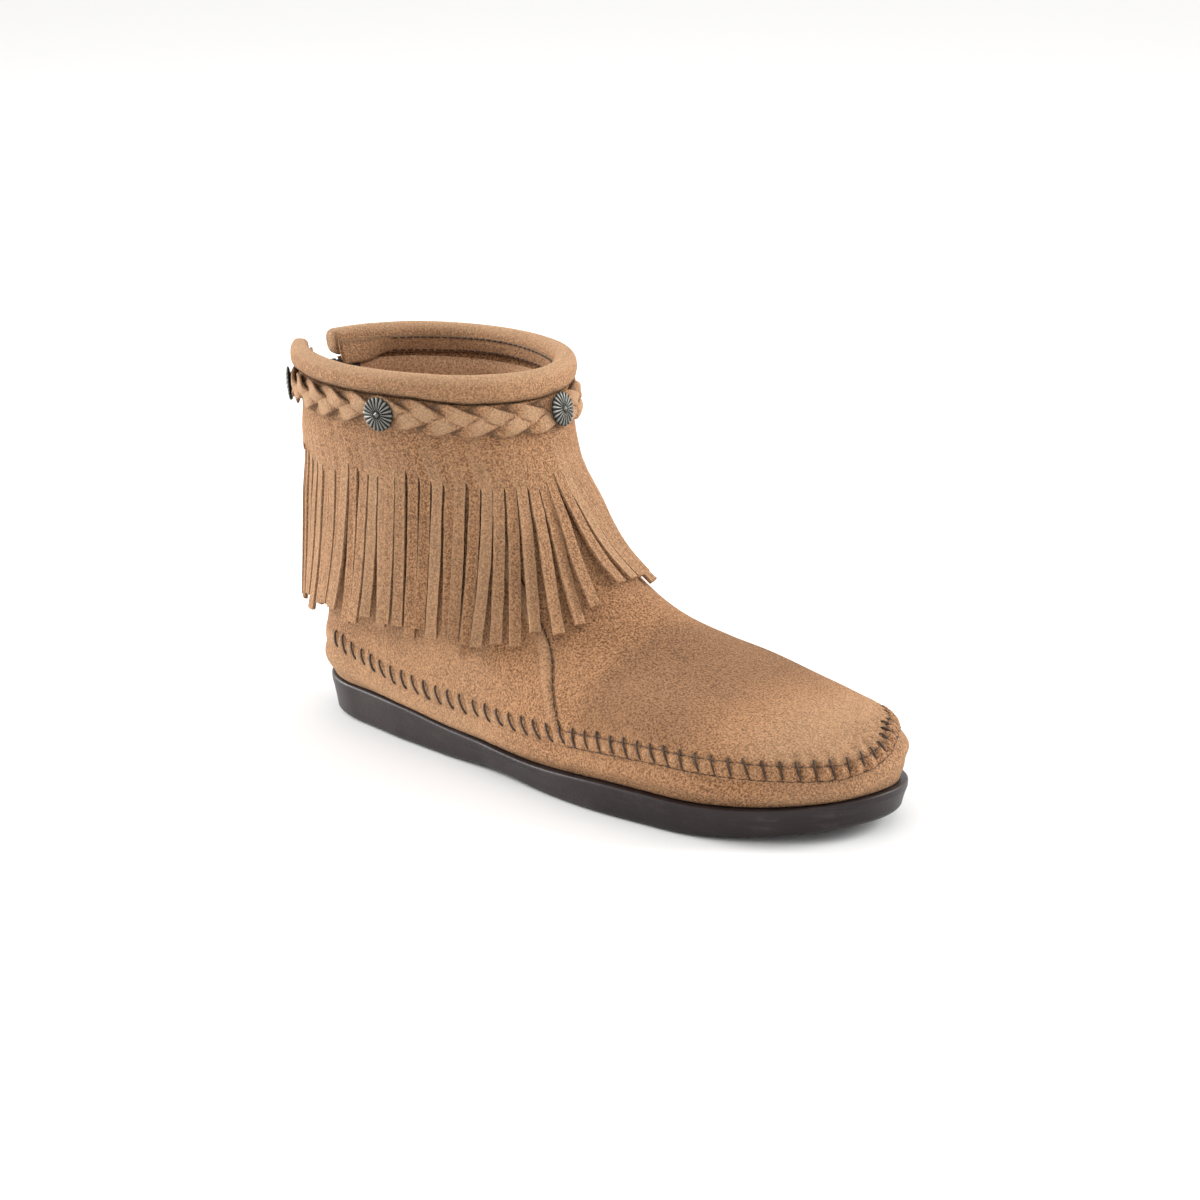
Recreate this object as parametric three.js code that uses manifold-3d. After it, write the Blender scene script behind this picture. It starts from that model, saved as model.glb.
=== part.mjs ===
// Fringed suede moccasin ankle boot for the right foot, in millimetres.
// +X runs from heel to toe, +Y to the inner side of the foot and +Z up.
// The origin is the middle of the heel's flat tread, on the floor.

import * as THREE from 'three';
import { mergeVertices } from 'three/addons/utils/BufferGeometryUtils.js';
import Module from 'manifold-3d';

const wasm = await Module();
wasm.setup();

// Driving sizes of the sole
const LENGTH = 260; // heel to toe, at the sole's top edge
const BALL_OUTER = 50.5; // middle line to the outer edge at the ball
const BALL_INNER = 44; // middle line to the inner edge at the ball
const HEEL_SOLE = 14.5; // thickness under the heel
const WAIST_SOLE = 9.8; // thickness under the arch
const BALL_SOLE = 12; // thickness under the ball
const TOE_SOLE = 10; // thickness at the toe
const TOE_SPRING = 6; // lift of the tread at the toe
const SPRING_START = 196; // where the tread leaves the floor
const ARCH_RISE = 1; // lift of the tread under the arch
const ARCH_BACK = 78;
const ARCH_FRONT = 146;
const TREAD_INSET = 2.6; // how far the tread lies inside the top edge
const TREAD_ROUND = 1.4; // height of the rounded corner at the tread
const LIP_HEIGHT = 2.2; // band round the top of the sole's side
const LIP_PROUD = 0.4; // step under that band
const WAIST_RECESS = 0.9; // deeper step beside the arch
const HEEL_REST_X = 32; // middle of the heel's flat tread, from the back edge

// Driving sizes of the upper
const UPPER_WALL = 1.8; // suede and its lining
const FEATHER_INSET = 3; // sole edge standing out past the upper's bottom edge
const SEAM_RISE_HEEL = 11.5; // whipstitched seam over the sole at the heel
const SEAM_RISE_TOE = 17; // the same at the toe
const SEAM_RIB = 1; // how far the gathered seam stands out
const COLLAR_HEIGHT = 141; // floor to the top of the padded collar
const COLLAR_LENGTH = 105; // shaft at its top edge, back to front
const COLLAR_WIDTH = 83; // shaft at its top edge, side to side
const COLLAR_BACK = -5.5; // back of the shaft's top edge, behind the sole's edge
const ZIP_OPENING = 9; // slot down the back of the upper
const FIT_GAP = 0.3; // between pieces that lie on each other

// Driving sizes of the trim
const ROLL_HEIGHT = 10.6;
const ROLL_THICKNESS = 8.6;
const ROLL_SHIFT = 0.4; // middle of the roll, outside the wall's outer face
const ROLL_END_GAP = 13; // between the roll's ends at the zip
const INSOLE_THICKNESS = 3;
const YOKE_DROP = 28; // plain part of the fringe, from the collar down
const STRIP_LENGTH = 56;
const STRIP_WIDTH = 3.5;
const STRIP_CUT = 0.6; // slit between two strips
const FRINGE_THICKNESS = 1.5;
const YOKE_SEAT = 0.5; // fringe over the shaft's face, which it wraps loosely
const FRINGE_END_GAP = 17; // between the fringe's ends at the zip
const STRIP_CLEARANCE = 2; // hanging strips over the upper's face
const BRAID_WIDTH = 10.8;
const BRAID_BACKING = 1; // thinnest part of the braid
const BRAID_RAISE = 2.2; // crown of a strand over that
const BRAID_PERIOD = 36; // one strand from crossing back to the same crossing
const BRAID_END_GAP = 15;
const CONCHO_DIAMETER = 12.5;
const CONCHO_THICKNESS = 2.4;
const CONCHO_FLUTES = 12;
const HEEL_TAB_WIDTH = 19;
const HEEL_TAB_THICKNESS = 1.5;
const TAPE_WIDTH = 24;
const TAPE_THICKNESS = 0.8;
const CHAIN_WIDTH = 5.6;
const CHAIN_THICKNESS = 1.6;
const SLIDER_DROP = 29; // middle of the slider, under the collar's top
const SLIDER_HEIGHT_AT = COLLAR_HEIGHT - SLIDER_DROP;
const SLIDER_LENGTH = 10;
const SLIDER_WIDTH = 8;
const SLIDER_THICKNESS = 2;
const BRIDGE_WIDTH = 2.4;
const BRIDGE_LENGTH = 6.4;
const BRIDGE_STRAP = 1;
const PULL_LENGTH = 22;
const PULL_WIDTH = 6;
const PULL_THICKNESS = 1.2;
const PULL_CLEARANCE = 0.6; // round the pull's crossbar
const PULL_BAR = 1.2;

const WALL_TOP = COLLAR_HEIGHT - ROLL_HEIGHT - FIT_GAP;

// Mesh divisions
const LOOP_STEPS = 54;
const RIB_ROWS = [1.78, 1.9, 2.08, 2.22];
const SLOT_ROW = 2.8;
const UPPER_ROWS = [
  0, 0.6, 1.3, ...RIB_ROWS, SLOT_ROW, 3.4, 4, 4.6, 5.3, 6, 6.7, 7.4, 8.1, 8.8, 9.5, 10.2, 11,
];

// Sole outline: half widths beside the ball's, from heel to toe
const SOLE_SECTIONS = [
  { along: 0, outer: 0.56, inner: 0.66 },
  { along: 0.1, outer: 0.61, inner: 0.7 },
  { along: 0.22, outer: 0.71, inner: 0.7 },
  { along: 0.41, outer: 0.84, inner: 0.66 },
  { along: 0.5, outer: 0.92, inner: 0.74 },
  { along: 0.62, outer: 1, inner: 0.92 },
  { along: 0.72, outer: 1, inner: 1 },
  { along: 0.84, outer: 0.96, inner: 0.98 },
  { along: 1, outer: 0.8, inner: 0.86 },
];
const HEEL_ROUND = { reach: 0.115, power: 2.1 };
const TOE_ROUND = { reach: 0.24, power: 2.15 };

// Upper, a row for each level from the sole to the shaft's top edge.
// seam: share of the rise up to the whipstitched seam.
// back, front: share of the rise left above the seam, at the loop's two ends.
// lean: share of COLLAR_BACK.
// reach: front end, from the collar's front to the toe.
// outer, inner: half width, from the collar's to the ball's.
// tuck: share of FEATHER_INSET.
// oval: from the sole's outline to a plain oval.
// widest: where along that oval it is widest.
const LEVEL_COLUMNS = [
  'seam', 'back', 'front', 'lean', 'reach', 'outer', 'inner', 'tuck', 'oval', 'widest',
];
const UPPER_LEVELS = [
  [0, 0, 0, 0, 1, 1, 1, 1, 0, 0.5],
  [0.4, 0, 0, 0.1, 1, 1.04, 1.04, 0.4, 0, 0.5],
  [1, 0, 0, 0.1, 0.985, 0.9, 0.9, 0, 0, 0.5],
  [1, 0.063, 0.062, 0.15, 0.92, 0.62, 0.5, 0, 0.12, 0.5],
  [1, 0.14, 0.11, 0.2, 0.78, 0.22, 0.05, 0, 0.36, 0.48],
  [1, 0.218, 0.142, 0.28, 0.61, -0.12, -0.5, 0, 0.62, 0.46],
  [1, 0.305, 0.2, 0.36, 0.44, -0.36, -1, 0, 0.82, 0.44],
  [1, 0.402, 0.3, 0.52, 0.3, -0.5, -1.3, 0, 0.94, 0.42],
  [1, 0.509, 0.43, 0.8, 0.185, -0.5, -1.4, 0, 1, 0.42],
  [1, 0.644, 0.595, 1.1, 0.1, -0.38, -1, 0, 1, 0.45],
  [1, 0.809, 0.79, 1.22, 0.035, -0.18, -0.5, 0, 1, 0.48],
  [1, 1, 1, 1, 0, 0, 0, 0, 1, 0.5],
];
const TOP_ROW = UPPER_LEVELS.length - 1;

// Outsole rings from the tread up: how far inside the outline, and height share of the side
const SIDE_RINGS = [
  { inset: 1, rise: 0 },
  { inset: 0.72, rise: 1 },
  { inset: 0.3, rise: 2 },
  { inset: 0.3, rise: 3 },
  { inset: 0, rise: 4 },
  { inset: 0, rise: 5 },
];

const mix = (a, b, t) => a + (b - a) * t;
const clamp01 = (t) => Math.min(1, Math.max(0, t));
const ease = (t) => clamp01(t) ** 2 * (3 - 2 * clamp01(t));
const hump = (t) => (t > 0 && t < 1 ? Math.sin(Math.PI * t) ** 2 : 0);

// A smooth curve through evenly spaced values
function curveThrough(values) {
  return (place) => {
    const last = values.length - 1;
    const at = Math.min(last - 1e-9, Math.max(0, place));
    const i = Math.floor(at);
    const t = at - i;
    const b = values[i];
    const c = values[i + 1];
    const a = i > 0 ? values[i - 1] : 2 * b - c;
    const d = i + 2 <= last ? values[i + 2] : 2 * c - b;
    return b + 0.5 * t * (c - a + t * (2 * a - 5 * b + 4 * c - d + t * (3 * (b - c) + d - a)));
  };
}

// The same for rows with their own places
function curveAt(rows, placeKey, key) {
  const value = curveThrough(rows.map((row) => row[key]));
  return (place) => {
    let i = 0;
    while (i < rows.length - 2 && place > rows[i + 1][placeKey]) i += 1;
    const t = (place - rows[i][placeKey]) / (rows[i + 1][placeKey] - rows[i][placeKey]);
    return value(i + clamp01(t));
  };
}

const soleOuter = curveAt(SOLE_SECTIONS, 'along', 'outer');
const soleInner = curveAt(SOLE_SECTIONS, 'along', 'inner');

// 1 along the middle of the sole, rounding to 0 at its two ends
function endRounding(along) {
  const heel = Math.max(0, 1 - along / HEEL_ROUND.reach);
  const toe = Math.max(0, 1 - (1 - along) / TOE_ROUND.reach);
  const heelFactor = (1 - heel ** HEEL_ROUND.power) ** (1 / HEEL_ROUND.power);
  const toeFactor = (1 - toe ** TOE_ROUND.power) ** (1 / TOE_ROUND.power);
  return heelFactor * toeFactor;
}

// Half width of the sole as a share of the ball's, on the outer or the inner side
function soleShare(along, outerSide) {
  return (outerSide ? soleOuter(along) : soleInner(along)) * endRounding(along);
}

function treadHeight(x) {
  const toe = Math.max(0, (x - SPRING_START) / (LENGTH - SPRING_START));
  return TOE_SPRING * toe ** 2 + ARCH_RISE * hump((x - ARCH_BACK) / (ARCH_FRONT - ARCH_BACK));
}

function soleThickness(x) {
  const along = clamp01(x / LENGTH);
  const waist = mix(HEEL_SOLE, WAIST_SOLE, ease((along - 0.18) / 0.3));
  const ball = mix(waist, BALL_SOLE, ease((along - 0.48) / 0.2));
  return mix(ball, TOE_SOLE, ease((along - 0.74) / 0.24));
}

const soleTop = (x) => treadHeight(x) + soleThickness(x);

// A point of the sole's outline. turn runs from 0 at the back, over the outer side, to 1.
function solePoint(turn, inset, height) {
  const angle = 2 * Math.PI * turn;
  const along = (1 - Math.cos(angle)) / 2;
  const outerSide = turn <= 0.5;
  const x = inset + along * (LENGTH - 2 * inset);
  const full = (outerSide ? BALL_OUTER * soleOuter(along) : BALL_INNER * soleInner(along)) - inset;
  const y = full * endRounding(along) * (outerSide ? -1 : 1);
  return new THREE.Vector3(x, y, height(x));
}

const level = {};
LEVEL_COLUMNS.forEach((key, i) => {
  level[key] = curveThrough(UPPER_LEVELS.map((row) => row[i]));
});

const collarFront = COLLAR_BACK + COLLAR_LENGTH;
const WALL_RISE = WALL_TOP - HEEL_SOLE - FIT_GAP;

// Height of a loop over the sole's top, at a share along it from back to front
function loopRise(row, along) {
  const atBack = SEAM_RISE_HEEL * level.seam(row) + (WALL_RISE - SEAM_RISE_HEEL) * level.back(row);
  const atFront = SEAM_RISE_TOE * level.seam(row) + (WALL_RISE - SEAM_RISE_TOE) * level.front(row);
  return FIT_GAP + mix(atBack, atFront, along);
}

const loopBack = (row) => COLLAR_BACK * level.lean(row) + FEATHER_INSET * level.tuck(row);
const loopFront = (row) => mix(collarFront, LENGTH, level.reach(row)) - FEATHER_INSET * level.tuck(row);

function loopHeight(row, x, along) {
  const fade = ease(level.back(row) / 0.5);
  return mix(soleTop(x), HEEL_SOLE, fade) + loopRise(row, along);
}

function loopHalfWidth(row, along, outerSide) {
  const ball = outerSide ? BALL_OUTER : BALL_INNER;
  const share = outerSide ? level.outer(row) : level.inner(row);
  const size = mix(COLLAR_WIDTH / 2, ball, share) - FEATHER_INSET * level.tuck(row);
  const widest = level.widest(row);
  const off = along < widest ? (widest - along) / widest : (along - widest) / (1 - widest);
  const ovalShare = Math.sqrt(Math.max(0, 1 - off ** 2));
  return size * mix(soleShare(along, outerSide), ovalShare, level.oval(row));
}

// Point of the upper's outer face, before the seam's rib and any offset
function facePoint(turn, row) {
  const along = (1 - Math.cos(2 * Math.PI * turn)) / 2;
  const outerSide = turn <= 0.5;
  const x = mix(loopBack(row), loopFront(row), along);
  const y = loopHalfWidth(row, along, outerSide) * (outerSide ? -1 : 1);
  return new THREE.Vector3(x, y, loopHeight(row, x, along));
}

const wrap = (turn) => turn - Math.floor(turn);

function faceNormal(turn, row) {
  const step = 0.004;
  const ahead = facePoint(wrap(turn + step), row).sub(facePoint(wrap(turn - step), row));
  const low = Math.max(0, row - 0.05);
  const high = Math.min(TOP_ROW, row + 0.05);
  const up = facePoint(turn, high).sub(facePoint(turn, low));
  return ahead.cross(up).normalize();
}

function ribProud(row) {
  const [start, crest, crestEnd, end] = RIB_ROWS;
  if (row <= start || row >= end) return 0;
  if (row < crest) return (SEAM_RIB * (row - start)) / (crest - start);
  if (row > crestEnd) return (SEAM_RIB * (end - row)) / (end - crestEnd);
  return SEAM_RIB;
}

// Point of the upper, moved out by an offset; 0 is its outer face
function upperPoint(turn, row, offset) {
  const proud = offset + (offset >= 0 ? ribProud(row) : 0);
  const point = facePoint(turn, row);
  const moved = point.clone().addScaledVector(faceNormal(turn, row), proud);
  if (row <= 0 || row >= TOP_ROW) moved.z = point.z;
  return moved;
}

// The row whose loop passes over x at a given height
function rowAt(x, height) {
  let low = 0;
  let high = TOP_ROW;
  for (let i = 0; i < 30; i += 1) {
    const middle = (low + high) / 2;
    const along = clamp01((x - loopBack(middle)) / (loopFront(middle) - loopBack(middle)));
    if (loopHeight(middle, x, along) < height) low = middle;
    else high = middle;
  }
  return (low + high) / 2;
}

function isOutsideUpper(point) {
  const row = rowAt(point.x, point.z);
  const along = (point.x - loopBack(row)) / (loopFront(row) - loopBack(row));
  if (along <= 0 || along >= 1) return true;
  return Math.abs(point.y) > loopHalfWidth(row, along, point.y < 0);
}

// Whether a strip of some width stays clear of the upper, beside it and over it
function isStripClear(point, out, width, clearance) {
  const aside = new THREE.Vector3(-out.y, out.x, 0);
  return [-width / 2, width / 2].every((sideways) => {
    const edge = point.clone().addScaledVector(aside, sideways);
    const beside = edge.clone().addScaledVector(out, -clearance);
    const under = edge.clone();
    under.z -= clearance;
    return isOutsideUpper(beside) && isOutsideUpper(under);
  });
}

// Turns at equal distances round the shaft, by a share of its girth
const GIRTH_STEPS = 720;
const girthTable = [0];
for (let i = 1; i <= GIRTH_STEPS; i += 1) {
  const here = facePoint(wrap(i / GIRTH_STEPS), TOP_ROW);
  const before = facePoint((i - 1) / GIRTH_STEPS, TOP_ROW);
  girthTable.push(girthTable[i - 1] + here.distanceTo(before));
}
const GIRTH = girthTable[GIRTH_STEPS];

function turnAtGirth(distance) {
  const wanted = ((distance % GIRTH) + GIRTH) % GIRTH;
  let i = 1;
  while (girthTable[i] < wanted) i += 1;
  const t = (wanted - girthTable[i - 1]) / (girthTable[i] - girthTable[i - 1]);
  return wrap((i - 1 + t) / GIRTH_STEPS);
}

// The row at a height on the shaft, where loops are nearly level
const shaftRow = (turn, height) => rowAt(facePoint(turn, TOP_ROW - 1).x, height);

const shaftPoint = (turn, height, offset) => upperPoint(turn, shaftRow(turn, height), offset).setZ(height);

// The turn near the back where a loop is a given distance from the middle line, outer side negative
function turnAtWidth(aside, row) {
  let low = 0;
  let high = 0.2;
  for (let i = 0; i < 30; i += 1) {
    const middle = (low + high) / 2;
    if (Math.abs(facePoint(aside < 0 ? middle : 1 - middle, row).y) < Math.abs(aside)) low = middle;
    else high = middle;
  }
  return aside < 0 ? low : wrap(1 - low);
}

// A closed mesh from its corners and faces
class Solid {
  constructor() {
    this.corners = [];
    this.faces = [];
  }

  corner(point) {
    this.corners.push(point.x, point.y, point.z);
    return this.corners.length / 3 - 1;
  }

  quad(a, b, c, d) {
    this.faces.push(a, b, c, a, c, d);
  }

  geometry() {
    const geometry = new THREE.BufferGeometry();
    geometry.setAttribute('position', new THREE.Float32BufferAttribute(this.corners, 3));
    geometry.setIndex(this.faces);
    return geometry;
  }
}

// A wall between an outer and an inner grid, with sides closed wherever a cell is absent
function wallBetween({ rows, columns, closed, outer, inner, present }) {
  const solid = new Solid();
  const used = closed ? columns : columns + 1;
  const corners = [outer, inner].map((place) => {
    const made = new Map();
    return (row, column) => {
      const key = row * used + (column % used);
      if (!made.has(key)) made.set(key, solid.corner(place(row, column % used)));
      return made.get(key);
    };
  });
  const [out, back] = corners;
  const has = (row, column) => {
    if (row < 0 || row >= rows) return false;
    if (!closed && (column < 0 || column >= columns)) return false;
    return present ? present(row, (column + columns) % columns) : true;
  };
  for (let r = 0; r < rows; r += 1) {
    for (let c = 0; c < columns; c += 1) {
      if (!has(r, c)) continue;
      solid.quad(out(r, c), out(r, c + 1), out(r + 1, c + 1), out(r + 1, c));
      solid.quad(back(r, c), back(r + 1, c), back(r + 1, c + 1), back(r, c + 1));
      if (!has(r - 1, c)) solid.quad(out(r, c), back(r, c), back(r, c + 1), out(r, c + 1));
      if (!has(r + 1, c)) solid.quad(out(r + 1, c + 1), back(r + 1, c + 1), back(r + 1, c), out(r + 1, c));
      if (!has(r, c - 1)) solid.quad(out(r + 1, c), back(r + 1, c), back(r, c), out(r, c));
      if (!has(r, c + 1)) solid.quad(out(r, c + 1), back(r, c + 1), back(r + 1, c + 1), out(r + 1, c + 1));
    }
  }
  return solid.geometry();
}

// A body through rings of equal counts, each closed at the ends by a fan or by bridging its halves
function loftRings(rings, bridged) {
  const solid = new Solid();
  const count = rings[0].length;
  const index = rings.map((ring) => ring.map((point) => solid.corner(point)));
  for (let r = 0; r + 1 < rings.length; r += 1) {
    for (let i = 0; i < count; i += 1) {
      const j = (i + 1) % count;
      solid.quad(index[r][i], index[r][j], index[r + 1][j], index[r + 1][i]);
    }
  }
  for (const [ring, flip] of [[0, true], [rings.length - 1, false]]) {
    const at = index[ring];
    const face = flip ? (a, b, c) => solid.faces.push(c, b, a) : (a, b, c) => solid.faces.push(a, b, c);
    if (bridged) {
      for (let i = 0; i < count / 2; i += 1) {
        const [a, b, c, d] = [at[i], at[i + 1], at[(count - i - 1) % count], at[(count - i) % count]];
        if (i + 1 < count / 2) face(a, b, c);
        if (i > 0) face(a, c, d);
      }
    } else {
      const middle = new THREE.Vector3();
      rings[ring].forEach((point) => middle.addScaledVector(point, 1 / count));
      const hub = solid.corner(middle);
      for (let i = 0; i < count; i += 1) face(hub, at[i], at[(i + 1) % count]);
    }
  }
  return solid.geometry();
}

function toManifold(geometry) {
  const bare = geometry.clone();
  bare.deleteAttribute('normal');
  bare.deleteAttribute('uv');
  const merged = mergeVertices(bare);
  return new wasm.Manifold(new wasm.Mesh({
    numProp: 3,
    vertProperties: Float32Array.from(merged.attributes.position.array),
    triVerts: Uint32Array.from(merged.index.array),
  }));
}

function joined(...geometries) {
  const solids = geometries.map(toManifold);
  const mesh = solids.reduce((whole, next) => whole.add(next)).getMesh();
  const geometry = new THREE.BufferGeometry();
  geometry.setAttribute('position', new THREE.BufferAttribute(Float32Array.from(mesh.vertProperties), 3));
  geometry.setIndex(new THREE.BufferAttribute(Uint32Array.from(mesh.triVerts), 1));
  return geometry;
}

const turns = Array.from({ length: LOOP_STEPS }, (_, i) => i / LOOP_STEPS);

function outsoleGeometry() {
  const sideHeight = (x, rise) => {
    const bottom = treadHeight(x);
    const top = soleTop(x);
    const lip = top - LIP_HEIGHT;
    return [bottom, bottom + TREAD_ROUND, lip - LIP_PROUD, lip, lip, top][rise];
  };
  const rings = SIDE_RINGS.map(({ inset, rise }) => turns.map((turn) => {
    const along = (1 - Math.cos(2 * Math.PI * turn)) / 2;
    const beside = hump((along * LENGTH - ARCH_BACK) / (ARCH_FRONT - ARCH_BACK));
    const recess = inset > 0 ? LIP_PROUD + WAIST_RECESS * beside : 0;
    const lift = rise === 4 ? 0.2 : 0;
    return solePoint(turn, inset * TREAD_INSET + recess, (x) => sideHeight(x, rise) + lift);
  }));
  return loftRings(rings, true);
}

function insoleGeometry() {
  const inset = FEATHER_INSET + UPPER_WALL + 2 * FIT_GAP;
  const heights = [FIT_GAP, FIT_GAP + INSOLE_THICKNESS];
  const rings = heights.map((rise) => {
    const height = (x) => soleTop(x) + rise;
    return turns.map((turn) => solePoint(turn, inset, height));
  });
  return loftRings(rings, true);
}

// The first and last columns run down the two sides of the zip's slot
function upperTurn(column, row) {
  const start = turnAtWidth(-ZIP_OPENING / 2, row);
  const end = turnAtWidth(ZIP_OPENING / 2, row);
  return mix(start, end, column / (LOOP_STEPS - 1));
}

function upperGeometry() {
  const place = (offset) => (row, column) => {
    const at = UPPER_ROWS[row];
    return upperPoint(upperTurn(column, at), at, offset);
  };
  return wallBetween({
    rows: UPPER_ROWS.length - 1,
    columns: LOOP_STEPS,
    closed: true,
    outer: place(0),
    inner: place(-UPPER_WALL),
    present: (row, column) => column !== LOOP_STEPS - 1 || UPPER_ROWS[row] < SLOT_ROW,
  });
}

// A strip of the upper's own face up the middle of the back
function backPatchGeometry({ width, columns, rows, low, high }) {
  const place = (offset) => (row, column) => {
    const aside = mix(-width / 2, width / 2, column / columns);
    const turn = Math.abs(aside) < 0.01 ? 0 : turnAtWidth(aside, rows[row]);
    return upperPoint(turn, rows[row], offset);
  };
  // columns run from the inner side to the outer one, so that faces point out
  const mirrored = (at) => (row, column) => at(row, columns - column);
  return wallBetween({
    rows: rows.length - 1,
    columns,
    closed: false,
    outer: mirrored(place(high)),
    inner: mirrored(place(low)),
  });
}

function heelTabGeometry() {
  const rows = [0.6, 1.3, ...RIB_ROWS, SLOT_ROW];
  const high = FIT_GAP + HEEL_TAB_THICKNESS;
  return backPatchGeometry({ width: HEEL_TAB_WIDTH, columns: 6, rows, low: FIT_GAP, high });
}

function evenRows(low, high, steps) {
  return Array.from({ length: steps + 1 }, (_, i) => mix(low, high, i / steps));
}

const tapeOut = -UPPER_WALL - FIT_GAP;

function zipTapeGeometry() {
  const rows = evenRows(SLOT_ROW + 0.02, TOP_ROW - 0.02, 9);
  const low = tapeOut - TAPE_THICKNESS;
  return backPatchGeometry({ width: TAPE_WIDTH, columns: 6, rows, low, high: tapeOut });
}

function zipChainGeometry() {
  const rows = evenRows(SLOT_ROW + 0.12, TOP_ROW - 0.02, 9);
  const low = tapeOut + FIT_GAP;
  return backPatchGeometry({ width: CHAIN_WIDTH, columns: 2, rows, low, high: low + CHAIN_THICKNESS });
}

// A band round the shaft with a gap at the zip
function collarRollGeometry() {
  const steps = 46;
  const sectionSteps = 10;
  const middleHeight = COLLAR_HEIGHT - ROLL_HEIGHT / 2;
  const rings = [];
  for (let i = 0; i <= steps; i += 1) {
    const turn = turnAtGirth(mix(ROLL_END_GAP / 2, GIRTH - ROLL_END_GAP / 2, i / steps));
    const out = faceNormal(turn, TOP_ROW).setZ(0).normalize();
    const middle = facePoint(turn, TOP_ROW).setZ(middleHeight).addScaledVector(out, ROLL_SHIFT);
    rings.push(Array.from({ length: sectionSteps }, (_, k) => {
      const angle = (-2 * Math.PI * (k + 0.5)) / sectionSteps;
      const point = middle.clone().addScaledVector(out, (ROLL_THICKNESS / 2) * Math.cos(angle));
      point.z += (ROLL_HEIGHT / 2 / Math.cos(Math.PI / sectionSteps)) * Math.sin(angle);
      return point;
    }));
  }
  return loftRings(rings, false);
}

// How far a three strand plait stands out: places run along it and across from -1 to 1
function plaitRaise(along, across) {
  const phase = (2 * Math.PI * along) / BRAID_PERIOD;
  const crowns = [0, 1, 2].map((strand) => {
    const angle = phase + (2 * Math.PI * strand) / 3;
    const aside = (across - 0.55 * Math.sin(angle)) / 0.5;
    const over = 0.65 + 0.35 * Math.sin(2 * angle);
    return Math.max(0, 1 - aside ** 2) * over;
  });
  return Math.max(...crowns);
}

const fringeOut = YOKE_SEAT + FRINGE_THICKNESS;

function braidGeometry() {
  const columns = 76;
  const rows = [-1, -0.5, 0, 0.5, 1];
  const from = BRAID_END_GAP / 2;
  const span = GIRTH - BRAID_END_GAP;
  const middle = WALL_TOP - BRAID_WIDTH / 2;
  const place = (offset) => (row, column) => {
    const distance = (span * column) / columns;
    const turn = turnAtGirth(from + distance);
    const height = middle + (rows[row] * BRAID_WIDTH) / 2;
    return shaftPoint(turn, height, offset(distance, rows[row]));
  };
  const low = fringeOut + FIT_GAP;
  return wallBetween({
    rows: rows.length - 1,
    columns,
    closed: false,
    outer: place((distance, across) => low + BRAID_BACKING + BRAID_RAISE * plaitRaise(distance, across)),
    inner: place(() => low),
  });
}

const STRIP_PITCH = STRIP_WIDTH + STRIP_CUT;
const STRIP_COUNT = Math.floor((GIRTH - FRINGE_END_GAP + STRIP_CUT) / STRIP_PITCH);
const FRINGE_START = (GIRTH - STRIP_COUNT * STRIP_PITCH + STRIP_CUT) / 2;
const YOKE_TOP = WALL_TOP - FIT_GAP;
const YOKE_BOTTOM = WALL_TOP - YOKE_DROP;

// Where a strip hangs: it falls from the yoke and slides out over the foot
function stripPath(turn, length, stations) {
  const root = shaftPoint(turn, YOKE_BOTTOM, YOKE_SEAT);
  const out = faceNormal(turn, TOP_ROW).setZ(0).normalize();
  const drop = 0.5;
  const easeOut = 0.02;
  const path = [];
  const point = root.clone();
  let gone = 0;
  while (path.length < stations) {
    const next = point.clone();
    next.z -= drop;
    next.addScaledVector(out, easeOut * drop);
    while (!isStripClear(next, out, STRIP_WIDTH, STRIP_CLEARANCE)) next.addScaledVector(out, 0.1);
    gone += next.distanceTo(point);
    point.copy(next);
    if (gone >= (length * (path.length + 1)) / stations) path.push(point.clone());
  }
  return { out, path };
}

function fringeGeometry() {
  const stations = 4;
  const yokeRows = evenRows(YOKE_BOTTOM, YOKE_TOP, 2);
  const strips = Array.from({ length: STRIP_COUNT }, (_, i) => {
    const start = FRINGE_START + i * STRIP_PITCH;
    const length = STRIP_LENGTH + 1.5 * Math.sin(2.3 * i) + Math.sin(5.1 * i);
    return { start, ...stripPath(turnAtGirth(start + STRIP_WIDTH / 2), length, stations) };
  });
  const place = (offset) => (row, column) => {
    const strip = strips[Math.floor(column / 2)];
    const right = column % 2;
    if (row < stations) {
      const aside = new THREE.Vector3(-strip.out.y, strip.out.x, 0);
      const sideways = (right - 0.5) * STRIP_WIDTH;
      const centre = strip.path[stations - 1 - row];
      return centre.clone().addScaledVector(aside, sideways).addScaledVector(strip.out, offset - YOKE_SEAT);
    }
    const turn = turnAtGirth(strip.start + right * STRIP_WIDTH);
    return shaftPoint(turn, yokeRows[row - stations], offset);
  };
  return wallBetween({
    rows: stations + yokeRows.length - 1,
    columns: 2 * STRIP_COUNT - 1,
    closed: false,
    outer: place(fringeOut),
    inner: place(YOKE_SEAT),
    present: (row, column) => column % 2 === 0 || row >= stations,
  });
}

// Four studs on the braid, at shares of the girth from the zip over the outer side
const CONCHO_PLACES = [0.08, 0.295, 0.511, 0.76];

function conchoGeometry() {
  const steps = 2 * CONCHO_FLUTES;
  const rings = [[1, 0], [1, 0.4], [0.3, 1]].map(([radius, height]) => {
    return Array.from({ length: steps }, (_, i) => {
      const angle = (2 * Math.PI * i) / steps;
      const scallop = 1 - (i % 2) * 0.06 * radius;
      const reach = (CONCHO_DIAMETER / 2) * radius * scallop;
      return new THREE.Vector3(reach * Math.cos(angle), reach * Math.sin(angle), CONCHO_THICKNESS * height);
    });
  });
  return loftRings(rings, false);
}

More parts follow.
